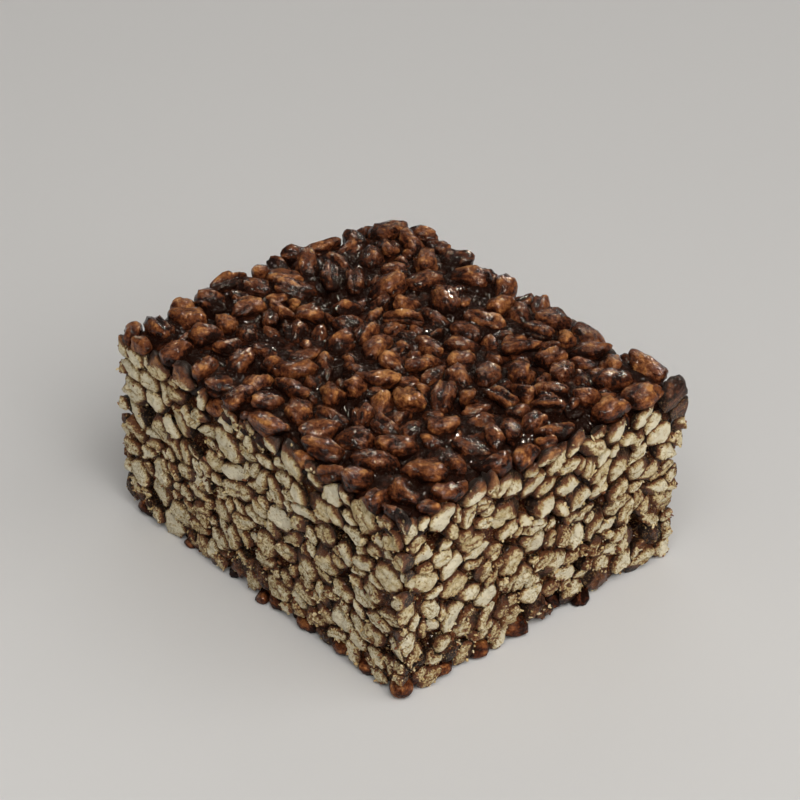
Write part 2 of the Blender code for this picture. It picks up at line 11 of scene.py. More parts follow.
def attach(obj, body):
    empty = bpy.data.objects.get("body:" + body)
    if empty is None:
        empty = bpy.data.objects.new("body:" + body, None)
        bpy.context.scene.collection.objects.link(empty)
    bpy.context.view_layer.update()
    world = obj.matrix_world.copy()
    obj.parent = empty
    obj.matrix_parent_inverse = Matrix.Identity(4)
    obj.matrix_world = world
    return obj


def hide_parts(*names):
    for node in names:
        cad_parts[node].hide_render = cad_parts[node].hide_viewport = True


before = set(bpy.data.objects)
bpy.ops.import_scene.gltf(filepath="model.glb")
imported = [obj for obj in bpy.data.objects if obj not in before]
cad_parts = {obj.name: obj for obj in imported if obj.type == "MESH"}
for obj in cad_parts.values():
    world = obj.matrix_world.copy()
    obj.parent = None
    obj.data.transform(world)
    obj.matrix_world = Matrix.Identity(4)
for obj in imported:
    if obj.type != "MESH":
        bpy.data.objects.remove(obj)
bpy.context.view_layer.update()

NODE = "puffed_wheat_square"

# The block, with the same sizes, tables and draws as its solid
LENGTH = 76.0
WIDTH = 63.7
CREST = 39.0
CUT_TOP = 35.0
CENTRE_X = 0.48
MILLIMETRE = 0.001
SEED = 11
CONTACT_GAP = 0.06
FOOT_STANDS_OUT = 0.9
# The right face leans: how far, and the height about which it does
LEAN = 1.1
LEAN_HEIGHT = 17.0
# The most grains there is room for in the tables of a heap
MOST_GRAINS = 2500
# A distance past every grain
FAR = 99.0

HALF_X = LENGTH / 2
HALF_Y = WIDTH / 2

# Grains that stand out on the top, read one by one: x, y, half length, half width, heading in degrees
TOP_GRAINS = [
    (-38, -8, 4.0, 1.8, 70), (-33, 26, 4.6, 2.4, 70), (-28, 31, 4.0, 2.5, 50), (-25, -22, 3.0, 2.5, 55),
    (-26, 7, 4.7, 1.5, -35), (-23, 10, 5.0, 2.0, -40), (-23, -7, 4.1, 1.3, 0), (-27, -11, 3.7, 1.8, 70),
    (-15, -17, 3.1, 2.4, 20), (-7, -17, 5.4, 2.0, 45), (-3, -21, 4.4, 1.6, 10), (-15, 20, 4.1, 2.2, 70),
    (2, 19, 4.4, 2.4, 15), (-7, 8, 3.8, 1.3, 40), (3, 13, 3.6, 1.8, 5), (21, 26, 3.8, 1.6, 50),
    (31, 30, 5.4, 2.6, 0), (30, 8, 4.4, 1.5, 30), (38, 23, 4.1, 2.4, 65), (36, 16, 3.6, 2.2, 75),
    (4, -8, 4.2, 1.5, 35), (11, -17, 3.1, 2.2, -40), (6, 1, 4.1, 1.5, 75), (22, 4, 3.8, 1.5, 5),
    (13, 17, 3.6, 1.3, 65), (22, -9, 3.2, 2.2, 55), (30, -1, 3.5, 2.0, -40), (35, 5, 3.7, 1.6, 60),
    (14, -28, 3.5, 2.0, 20), (22, -24, 4.2, 2.6, 35), (2, -30, 5.4, 1.8, 10), (30, -20, 3.8, 2.0, 40),
    (-7, -29, 3.3, 2.2, 80), (-38, 14, 3.8, 1.8, 80), (19, 19, 3.2, 2.2, 80), (33, -27, 3.1, 1.8, 0),
]

# Cut grains that stand out on the front and right faces, read one by one: distance along the face towards
# the front corner, height, half length, half width, slope in degrees
FRONT_CUTS = [
    (-35, 26, 4.8, 3.0, 5), (-30, 30, 2.5, 1.8, 10), (-22, 31, 2.5, 1.5, 0), (-21, 26, 3.5, 2.3, -55),
    (-20, 35, 3.4, 1.8, -20), (-27, 34, 2.8, 2.2, -40), (-8, 28, 4.0, 2.4, -15), (-6, 23, 3.0, 1.6, 0),
    (-5, 20, 4.4, 1.8, 10), (-1, 26, 2.2, 1.0, 70), (2, 26, 2.4, 1.0, 75), (0, 32, 1.7, 1.1, -60),
    (9, 33, 4.2, 2.0, -40), (20, 32, 2.3, 2.1, -40), (28, 32, 3.8, 3.2, -50), (35, 31, 2.6, 1.8, 55),
    (11, 22, 3.0, 1.5, 5), (10, 18, 4.4, 1.2, 25), (18, 23, 2.5, 2.4, -60), (18, 18, 2.8, 2.4, -30),
    (34, 23, 3.0, 2.4, -30), (30, 18, 3.1, 2.2, -20), (26, 27, 2.8, 1.1, -10), (2, 13, 2.2, 2.1, -30),
    (13, 14, 2.8, 2.0, -15), (-20, 16, 3.0, 1.6, 20), (-34, 9, 2.7, 2.4, -40), (-28, 8, 2.6, 2.3, -40),
    (-22, 6, 2.7, 2.4, -40), (-10, 13, 2.6, 2.0, -10), (-2, 3, 2.5, 2.2, -35), (-13, 3, 2.4, 1.5, 80),
    (32, 13, 3.6, 1.6, 0), (22, 8, 3.2, 2.0, -40), (36, 10, 2.4, 1.6, -50),
]
RIGHT_CUTS = [
    (-26, 28, 3.0, 2.4, -25), (-22, 23, 2.4, 1.9, -20), (-16, 33, 2.8, 2.1, -35), (-13, 23, 2.4, 1.6, -45),
    (-8, 23, 3.1, 2.7, -35), (-10, 29, 2.0, 1.5, -70), (-5, 27, 2.5, 2.0, -25), (-5, 31, 3.1, 1.1, -10),
    (3, 31, 3.5, 1.6, -40), (9, 27, 3.6, 2.6, -25), (8, 24, 2.5, 1.5, -30), (12, 34, 3.2, 1.1, 75),
    (17, 31, 2.2, 1.8, -45), (23, 33, 2.8, 2.4, -45), (28, 30, 1.7, 1.5, 0), (16, 25, 2.8, 1.7, -10),
    (23, 25, 2.0, 1.3, -15), (27, 22, 4.4, 1.8, 20), (20, 18, 3.2, 2.7, -30), (7, 17, 2.9, 2.6, -40),
    (13, 18, 1.9, 1.7, -35), (1, 18, 2.6, 2.0, -60), (-8, 15, 2.5, 2.0, -35), (-3, 12, 3.2, 1.6, -35),
    (12, 12, 2.6, 2.1, -30), (20, 12, 3.0, 2.3, -30), (30, 17, 3.0, 2.0, -55), (30, 11, 2.5, 2.0, -45),
    (2, 8, 3.1, 1.5, 12), (-14, 3, 3.5, 1.8, 20), (7, 5, 2.3, 1.9, -25), (22, 7, 2.4, 1.4, 10),
    (28, 6, 2.0, 1.1, 10), (-30, 12, 2.8, 2.3, -35), (-28, 6, 2.8, 1.9, 60), (-27, 17, 3.4, 1.2, 8),
]

# Glazed grains that stand out along the bottom edge, read one by one: as for the top
LOW_GRAINS = [
    (35.4, -29.4, 3.0, 2.4, -45), (35.6, -21.5, 3.0, 2.1, 80), (35.8, -13, 3.2, 2.0, 85),
    (35.8, -4.5, 2.8, 2.1, 75), (35.6, 12.5, 3.0, 2.2, 80), (28, -29.6, 2.8, 2.1, 5),
    (20.5, -29.8, 2.6, 2.0, -10), (12, -29.6, 2.8, 2.0, 8), (4, -29.8, 2.4, 1.9, -5),
    (-33, -29.6, 2.8, 2.0, 5),
]

# Dark gaps between the grains, read one by one: x, y, radius on the top, and distance along the face,
# height, radius on the front and right faces
TOP_GAPS = [(-20, 4, 3.4), (-31, -15, 2.4), (35, 10, 2.4), (-3, 15, 2.0), (7, -17, 1.9), (-2, -12, 2.2),
            (-4, 25, 1.6), (-11, -22, 1.6)]
FRONT_GAPS = [(-16, 24, 2.2), (-31, 22, 1.7), (-18, 32, 1.2), (-12, 17, 1.2), (23, 17, 1.3), (21, 25, 1.0),
              (25, 25, 0.9), (-3, 8, 1.1), (7, 11, 1.1), (14, 31, 0.9), (-30, 5, 1.2), (34, 8, 1.1)]
RIGHT_GAPS = [(-24, 8, 1.9), (-22, 12, 1.2), (-10, 9, 1.1), (24, 29, 1.3), (25, 9, 1.4), (8, 21, 1.2),
              (7, 31, 1.0), (-14, 20, 1.1), (-4, 20, 0.9), (-25, 25, 1.0), (3, 27, 0.9), (-4, 4, 1.3),
              (3, 4, 1.1)]
HIDDEN_GAPS = 13

UP = np.array((0.0, 0.0, 1.0))
# The four knife faces: outward direction, direction along the face, distance out, half width
FRONT, RIGHT, BACK, LEFT = range(4)
FACES = [(np.array((0.0, -1.0, 0.0)), np.array((1.0, 0.0, 0.0)), HALF_Y, HALF_X),
         (np.array((1.0, 0.0, 0.0)), np.array((0.0, -1.0, 0.0)), HALF_X, HALF_Y),
         (np.array((0.0, 1.0, 0.0)), np.array((1.0, 0.0, 0.0)), HALF_Y, HALF_X),
         (np.array((-1.0, 0.0, 0.0)), np.array((0.0, -1.0, 0.0)), HALF_X, HALF_Y)]
# Regions of the heap; the four sides are SIDE plus the number of the face
TOP, UNDER_TOP, SIDE, BOTTOM = 0, 1, 2, 6

# Sizes drawn for each region: half length, half width, number of tries, overlap allowed, depth
TOP_DRAWS = [(4.1, 2.45, 300, 0.30, 0.0), (3.4, 2.05, 1000, 0.32, 0.3), (2.6, 1.6, 1400, 0.36, 0.8),
             (3.6, 2.2, 1600, 0.42, 3.4), (1.9, 1.2, 1000, 0.40, 1.4)]
SIDE_DRAWS = [(3.5, 1.8, 60, 0.28), (3.0, 1.5, 300, 0.30), (2.5, 1.25, 900, 0.33), (1.9, 1.0, 1300, 0.36),
              (1.3, 0.8, 1800, 0.38)]
BOTTOM_DRAWS = [(3.7, 2.2, 700, 0.30), (2.8, 1.8, 1100, 0.34), (2.0, 1.4, 1400, 0.36)]


def crest_height(x, y):
    """Height of the highest grains: a plane, a swelling by the left edge, a worn back corner and
    edges that fall away."""
    level = CREST + 0.4 * y / HALF_Y - 0.35 * x / HALF_X
    level = level + 1.1 * np.exp(-((x + HALF_X) ** 2 + (y + 12.0) ** 2) / 450.0)
    level = level - 2.4 * np.exp(-((x + HALF_X) ** 2 + (y - HALF_Y) ** 2) / 40.0)
    edge = np.clip(np.minimum(HALF_X - abs(x), HALF_Y - abs(y)), 0.0, None)
    return level - 0.9 * np.exp(-(edge / 2.4) ** 2)


def right_lean(along, height):
    """How far the right face leans out: most at the top of its far end, not at all at its near end."""
    return LEAN * (HALF_Y - along) / WIDTH * (height / LEAN_HEIGHT - 1.0)


def knife_offset(face, along, height):
    """How far out a knife face stands."""
    return FACES[face][2] + (right_lean(along, height) if face == RIGHT else 0.0)


def grain_axes(long_axis, normal, lift, roll):
    """Three rows: the long, wide and thick axes of a grain that lies in the plane of the normal, lifted
    out of it and rolled about its length."""
    a = long_axis * np.cos(lift) + normal * np.sin(lift)
    a = a / np.linalg.norm(a)
    w = np.cross(normal, a)
    w = w / np.linalg.norm(w)
    t = np.cross(a, w)
    return np.stack([a, np.cos(roll) * w + np.sin(roll) * t, np.cos(roll) * t - np.sin(roll) * w])


class Heap:
    """Grains laid so far: each an ellipsoid with a centre, three axes and three half lengths."""

    def __init__(self):
        self.centre = np.zeros((MOST_GRAINS, 3))
        self.axes = np.zeros((MOST_GRAINS, 3, 3))
        self.half = np.ones((MOST_GRAINS, 3))
        self.region = np.zeros(MOST_GRAINS, int)
        self.count = 0

    def has_room(self, centre, axes, half, allowed):
        """True where the new grain overlaps none of the others by more than the allowed share of the
        smaller radius, both measured on the line between the centres."""
        n = self.count
        gap = self.centre[:n] - centre
        dist = np.sqrt((gap * gap).sum(1))
        near = np.nonzero(dist < self.half[:n].max(1, initial=0.0) + half.max())[0]
        if len(near) == 0:
            return True
        dist = dist[near]
        if dist.min() < 0.4:
            return False
        u = gap[near] / dist[:, None]
        mine = 1.0 / np.sqrt((((u @ axes.T) / half) ** 2).sum(1))
        local = np.einsum("nij,nj->ni", self.axes[near], u) / self.half[near]
        theirs = 1.0 / np.sqrt((local * local).sum(1))
        return bool((mine + theirs - dist < allowed * np.minimum(mine, theirs)).all())

    def lay(self, centre, axes, half, region, allowed=None):
        """Lay a grain, where there is room for it if an allowed overlap is given."""
        if allowed is not None and not self.has_room(centre, axes, half, allowed):
            return
        k = self.count
        self.centre[k], self.axes[k], self.half[k], self.region[k] = centre, axes, half, region
        self.count += 1


def lay_section(heap, rng, face, along, height, a, b, slope, allowed=None):
    """A grain the knife went through: its cut face has half axes a and b on the plane of the face."""
    normal, side, _, _ = FACES[face]
    depth = rng.uniform(1.5, 2.4) * (0.6 + 0.16 * max(a, b))
    inward = rng.uniform(0.05, 0.45)
    grown = 1.0 / np.sqrt(1.0 - inward * inward)
    heading = np.cos(slope) * side + np.sin(slope) * UP
    axes = grain_axes(heading, normal, rng.normal(0.0, 0.14), rng.normal(0.0, 0.18))
    centre = normal * (knife_offset(face, along, height) - inward * depth) + side * along + UP * height
    heap.lay(centre, axes, np.array((a * grown, b * grown, depth)), SIDE + face, allowed)


def lay_flat(heap, rng, x, y, z, half, heading, tilt, region, allowed):
    """A whole grain lying down, with its long axis along the heading."""
    ahead = np.array((np.cos(heading), np.sin(heading), 0.0))
    axes = grain_axes(ahead, UP, rng.normal(0.0, tilt), rng.normal(0.0, 0.22))
    heap.lay(np.array((x, y, z)), axes, half, region, allowed)


def side_gaps():
    """The gaps of each knife face: the listed ones, and drawn ones on the back and left faces."""
    rng = np.random.default_rng(SEED + 4)
    gaps = [FRONT_GAPS, RIGHT_GAPS]
    for _, _, _, half in FACES[2:]:
        gaps.append([(rng.uniform(-0.9, 0.9) * half, rng.uniform(3.0, 31.0), rng.uniform(0.9, 1.9))
                     for _ in range(HIDDEN_GAPS)])
    return gaps


def in_gap(gaps, first, second, margin):
    """True where a place on a face lies in one of its gaps, or nearer to it than the margin."""
    return any((first - u) ** 2 + (second - v) ** 2 < (r + margin) ** 2 for u, v, r in gaps)


def lay_grains():
    """Lay the listed grains first, then drawn ones of falling size wherever there is room."""
    rng = np.random.default_rng(SEED)
    heap = Heap()
    for face, cuts in ((FRONT, FRONT_CUTS), (RIGHT, RIGHT_CUTS)):
        for along, height, a, b, slope in cuts:
            lay_section(heap, rng, face, along, height, a, b, np.radians(slope))
    for x, y, a, b, heading in TOP_GRAINS:
        x = np.clip(x, b * 0.75 - HALF_X, HALF_X - b * 0.75)
        y = np.clip(y, b * 0.75 - HALF_Y, HALF_Y - b * 0.75)
        z = crest_height(x, y) - 0.94 * b - abs(rng.normal(0.0, 0.25)) - 0.25 * (2.2 - b)
        lay_flat(heap, rng, x, y, z, np.array((a, b, 0.94 * b)), np.radians(heading), 0.09, TOP, 0.75)
    for x, y, a, b, heading in LOW_GRAINS:
        half = np.array((a, b, 0.9 * b))
        lay_flat(heap, rng, x, y, 0.85 * b, half, np.radians(heading), 0.06, BOTTOM, 0.9)
    for a0, b0, tries, allowed, deep in TOP_DRAWS:
        for _ in range(tries):
            a, b, flat = a0 * rng.uniform(0.88, 1.15), b0 * rng.uniform(0.88, 1.12), rng.uniform(0.88, 1.0)
            x = rng.uniform(-1.0, 1.0) * (HALF_X - 0.8 * b)
            y = rng.uniform(-1.0, 1.0) * (HALF_Y - 0.8 * b)
            z = crest_height(x, y) - b * flat - deep - abs(rng.normal(0.0, 0.6))
            heading = np.radians(rng.normal(42.0, 62.0))
            if deep < 3.0 and in_gap(TOP_GAPS, x, y, 0.0):
                continue
            region = TOP if deep < 3.0 else UNDER_TOP
            lay_flat(heap, rng, x, y, z, np.array((a, b, b * flat)), heading, 0.26, region, allowed)
    for face, gaps in enumerate(side_gaps()):
        for a0, b0, tries, allowed in SIDE_DRAWS:
            for _ in range(tries):
                along = rng.uniform(-1.0, 1.0) * FACES[face][3]
                height, slope = rng.uniform(1.9, CUT_TOP), np.radians(rng.normal(-26.0, 30.0))
                a, b = a0 * rng.uniform(0.8, 1.2), b0 * rng.uniform(0.8, 1.15)
                if not in_gap(gaps, along, height, 0.9 * b):
                    lay_section(heap, rng, face, along, height, a, b, slope, allowed)
    for a0, b0, tries, allowed in BOTTOM_DRAWS:
        for _ in range(tries):
            a, b, flat = a0 * rng.uniform(0.85, 1.15), b0 * rng.uniform(0.85, 1.15), rng.uniform(0.85, 1.0)
            x, y = rng.uniform(-1.0, 1.0) * (HALF_X - 0.5 * b), rng.uniform(-1.0, 1.0) * (HALF_Y - 0.5 * b)
            z, heading = b * flat * rng.uniform(0.45, 0.8), rng.uniform(0.0, np.pi)
            lay_flat(heap, rng, x, y, z, np.array((a, b, b * flat)), heading, 0.15, BOTTOM, allowed)
    return heap


def contact_planes(heap):
    """For each grain the planes that part it from its nearest neighbours: through the point on the line
    of centres where both ellipsoids measure the same, along the difference of their gradients there.
    Returns the outward directions and the distances from the grain's centre."""
    n, most = heap.count, 18
    centre, axes, half = heap.centre[:n], heap.axes[:n], heap.half[:n]
    form = np.einsum("nki,nk,nkj->nij", axes, half ** -2.0, axes)
    directions, distances = np.zeros((n, most, 3)), np.full((n, most), FAR)
    for i in range(n):
        gap = centre - centre[i]
        dist = np.sqrt((gap * gap).sum(1))
        dist[i] = FAR
        near = np.nonzero(dist < half[i].max() + half.max(1))[0]
        u = gap[near] / dist[near, None]
        mine = 1.0 / np.sqrt(np.einsum("ni,ij,nj->n", u, form[i], u))
        theirs = 1.0 / np.sqrt(np.einsum("ni,nij,nj->n", u, form[near], u))
        order = np.argsort(dist[near] / (mine + theirs))[:most]
        near, u, mine, theirs = near[order], u[order], mine[order], theirs[order]
        middle = u * (dist[near] * mine / (mine + theirs))[:, None]
        slope = middle @ form[i] - np.einsum("nij,nj->ni", form[near], middle - gap[near])
        slope /= np.linalg.norm(slope, axis=1)[:, None]
        directions[i, :len(near)] = slope
        distances[i, :len(near)] = (slope * middle).sum(1) - CONTACT_GAP / 2
    return directions, distances


def gap_planes(heap):
    """For each grain the planes that keep it clear of the two nearest gaps: square to the line to the
    gap's middle, at the gap's rim.  Returns directions and distances as for the contact planes."""
    places, radii = [], []
    for x, y, radius in TOP_GAPS:
        places.append((x, y, crest_height(x, y) - 0.6))
        radii.append(radius)
    for face, gaps in enumerate(side_gaps()):
        for along, height, radius in gaps:
            normal, side, _, _ = FACES[face]
            places.append(normal * (knife_offset(face, along, height) - 0.3) + side * along + UP * height)
            radii.append(radius + 0.2)
    away = np.array(places)[None] - heap.centre[:heap.count, None]
    dist = np.linalg.norm(away, axis=2)
    room = dist - np.array(radii)
    nearest = np.argsort(room, axis=1)[:, :2]
    dist, room = np.take_along_axis(dist, nearest, 1), np.take_along_axis(room, nearest, 1)
    directions = np.take_along_axis(away, nearest[..., None], 1) / dist[..., None]
    return directions, np.maximum(room, 0.5 * heap.half[:heap.count].min(1)[:, None])


def cut_plane(heap, rng):
    """For each grain the plane that cuts it: the knife face it meets, a little tilted and set back, or
    the tray under a pressed grain.  Returns outward direction, distance from the centre, and whether
    the grain is cut at all."""
    n = heap.count
    direction, distance, cut = np.tile(UP, (n, 1)), np.full(n, FAR), np.zeros(n, bool)
    for i in range(n):
        c, axes, half, region = heap.centre[i], heap.axes[i], heap.half[i], heap.region[i]
        tilt, back = rng.normal(0.0, 0.07, 3), abs(rng.normal(0.0, 0.2))
        if region == BOTTOM:
            direction[i], distance[i], cut[i] = -UP, c[2] - max(0.0, back - 0.2), True
            continue
        best = 0.25
        for face, (normal, side, _, _) in enumerate(FACES):
            if region >= SIDE and face != region - SIDE:
                continue
            extent = np.sqrt((((axes @ normal) * half) ** 2).sum())
            room = knife_offset(face, c @ side, c[2]) - c @ normal - back
            if extent - room > best:
                best = extent - room
                leaning = normal + tilt
                direction[i], distance[i], cut[i] = leaning / np.linalg.norm(leaning), room, True
    return direction, distance, cut


def walls(heap):
    """The knife faces and the tray as half spaces for every grain: directions, distances."""
    n = heap.count
    centre = heap.centre[:n]
    directions = np.stack([f[0] for f in FACES] + [-UP])
    distances = np.zeros((n, 5))
    for face, (normal, side, _, _) in enumerate(FACES):
        distances[:, face] = knife_offset(face, centre @ side, centre[:, 2]) - centre @ normal
    distances += np.where(heap.region[:n] == BOTTOM, FOOT_STANDS_OUT, 0.02)[:, None]
    distances[:, 4] = centre[:, 2]
    return np.broadcast_to(directions, (n, 5, 3)), distances


# Shapes

LATTICE = np.random.default_rng(5).uniform(-1.0, 1.0, (64, 64, 64))


def mottle(points, size):
    """Value noise from -1 to 1: random numbers on a lattice with the given spacing, blended between the
    eight corners round each point with the weights 3f^2 - 2f^3."""
    place = points / size
    base = np.floor(place).astype(int)
    f = place - base
    f = f * f * (3.0 - 2.0 * f)
    value = np.zeros(points.shape[:-1])
    for corner in np.ndindex(2, 2, 2):
        i, j, k = ((base[..., m] + corner[m]) & 63 for m in range(3))
        weight = np.ones(points.shape[:-1])
        for m in range(3):
            weight = weight * (f[..., m] if corner[m] else 1.0 - f[..., m])
        value += weight * LATTICE[i, j, k]
    return value


def reach(heap, pick, origin, rays, planes, soft=9.0, round_edges=False):
    """How far the surface of each picked grain lies from its origin along each ray: the way out of the
    ellipsoid and the ways to the contact planes, blended as the root of the summed inverse powers,
    then held back by the knife faces and the tray, which take part in the blend on round edges."""
    axes, half = heap.axes[pick], heap.half[pick]
    local = np.einsum("nij,nmj->nmi", axes, rays) / half[:, None]
    start = np.einsum("nij,nj->ni", axes, origin) / half
    a = (local * local).sum(2)
    b = (local * start[:, None]).sum(2)
    c = (start * start).sum(1)[:, None] - 1.0
    way = (np.sqrt(np.maximum(b * b - a * c, 0.0)) - b) / a
    ways = []
    for directions, distances in planes:
        room = distances - np.einsum("nkj,nj->nk", directions, origin)
        room = np.maximum(room, 0.12)
        facing = np.einsum("nkj,nmj->nmk", directions, rays)
        ways.append(np.where(facing > 1e-4, room[:, None] / np.maximum(facing, 1e-4), FAR))
    total = way ** -soft + (ways[0] ** -soft).sum(2)
    if round_edges:
        total = total + (ways[1] ** -soft).sum(2)
    return np.minimum(total ** (-1.0 / soft), ways[1].min(2))


def plane_basis(normal, long_axis):
    """Two directions across the normal, the first as near the long axis as it can be."""
    first = long_axis - (long_axis * normal).sum(1)[:, None] * normal
    first = first / np.linalg.norm(first, axis=1)[:, None]
    return first, np.cross(normal, first)


def section_middle(heap, pick, normal, distance):
    """The middle of the ellipse in which the cutting plane meets each ellipsoid, from the centre."""
    axes, half = heap.axes[pick], heap.half[pick]
    spread = np.einsum("nki,nk,nkj->nij", axes, half ** 2.0, axes)
    across = np.einsum("nij,nj->ni", spread, normal)
    size = (across * normal).sum(1)
    share = np.clip(distance / np.sqrt(size), -0.9, 0.9)
    return across * (share / np.sqrt(size))[:, None]


def knife_distance(points):
    """How far inside the nearest of the four knife faces each point lies."""
    x, y, z = np.moveaxis(points, -1, 0)
    return np.minimum(np.minimum(HALF_X + right_lean(-y, z) - x, HALF_X + x), HALF_Y - np.abs(y))


# Millimetres in from the rim of the cut, for a grain with no cut
WHOLE = -0.9


def whole_grains(heap, pick, planes, around, down, rng, wrinkle=1.0, stands_out=0.0):
    """Whole grains as closed grids: angle round the grain by angle from tip to tip.  The radius is the
    reach of the grain, tapered to one end, furrowed along one side of some grains, swollen by broad
    lumps and finely wrinkled.  Returns points (grain, ring, around) with a pole ring at each end."""
    n = len(pick)
    axes, half, centre = heap.axes[pick], heap.half[pick], heap.centre[pick]
    held = [(p[0][pick], p[1][pick]) for p in planes]
    lean = np.linspace(0.0, np.pi, down + 1)
    lean[0], lean[-1] = 0.02, np.pi - 0.02
    turn = np.arange(around) * (2.0 * np.pi / around)
    lean, turn = np.meshgrid(lean, turn, indexing="ij")
    unit = np.stack([np.cos(lean), np.sin(lean) * np.cos(turn), np.sin(lean) * np.sin(turn)], 2)
    rays = np.einsum("nki,nabk->nabi", axes, unit[None] * half[:, None, None])
    rays /= np.linalg.norm(rays, axis=3)[..., None]
    way = reach(heap, pick, np.zeros((n, 3)), rays.reshape(n, -1, 3), held, 5.0, round_edges=True)
    way = way.reshape(rays.shape[:3])
    local = np.einsum("nki,nabi->nabk", axes, rays * way[..., None])
    taper = rng.uniform(-0.16, 0.16, n)[:, None, None]
    along = local[..., 0] / half[:, None, None, 0]
    blunt = 1.0 + rng.uniform(0.20, 0.60, n)[:, None, None] * along ** 4
    local[..., 1:] *= ((1.0 + taper * along) * blunt)[..., None]
    bow = rng.normal(0.0, 0.10, (n, 2))[:, None, None] * half[:, None, None, :1]
    local[..., 1:] += bow * (0.35 - along ** 2)[..., None]
    # the furrow lies on the upper half, at an angle of its own
    furrow_turn = rng.uniform(0.15, 0.85, n)[:, None, None] * np.pi
    furrowed = (rng.uniform(size=n) < 0.55) * rng.uniform(0.40, 0.85, n)
    radius = np.hypot(local[..., 1], local[..., 2])
    off = np.angle(np.exp(1j * (turn[None] - furrow_turn))) * radius
    groove = np.exp(-(off / 0.42) ** 2) - 0.32 * np.exp(-((np.abs(off) - 1.05) / 0.5) ** 2)
    groove = groove * furrowed[:, None, None] * np.clip(1.15 - along ** 2, 0.0, 1.0)
    shrink = 1.0 - np.minimum(groove / np.maximum(radius, 0.6), 0.6)
    local[..., 1:] *= shrink[..., None]
    points = centre[:, None, None] + np.einsum("nki,nabk->nabi", axes, local)
    relief = 0.34 * mottle(points, 2.6) + 0.36 * mottle(points + 40.0, 1.3)
    drawn_out = local * (0.4, 1.0, 1.0) + rng.uniform(0.0, 60.0, (n, 3))[:, None, None]
    relief = relief + 0.42 * (0.35 - np.abs(mottle(drawn_out, 1.1))) + 0.22 * mottle(points + 20.0, 0.6)
    points = points + rays * (relief * wrinkle)[..., None]
    points[..., 2] = np.maximum(points[..., 2], 0.0)
    out = knife_distance(points)
    nearest = np.argmin(np.stack([HALF_X - points[..., 0], HALF_X + points[..., 0],
                                  HALF_Y - points[..., 1], HALF_Y + points[..., 1]], 3), axis=3)
    outward = np.array([(1.0, 0.0, 0.0), (-1.0, 0.0, 0.0), (0.0, 1.0, 0.0), (0.0, -1.0, 0.0)])[nearest]
    points = points + outward * np.minimum(out + stands_out, 0.0)[..., None]
    rim = np.full(points.shape[:3], WHOLE)
    height = points[..., 2] - centre[:, None, None, 2]
    # the share of the height on the grain and the relief less the furrow: with them the coat colour
    # lightens the crests, partly thinner coat and partly painted light, and darkens the furrows, partly
    # thicker coat and partly painted shade
    thin_coat_and_crest_light = np.zeros(points.shape)
    thin_coat_and_crest_light[..., 0] = height / height.max((1, 2))[:, None, None]
    thin_coat_and_crest_light[..., 1] = relief - 0.8 * groove
    return points, local + rng.uniform(0.0, 60.0, (n, 3))[:, None, None], rim, thin_coat_and_crest_light


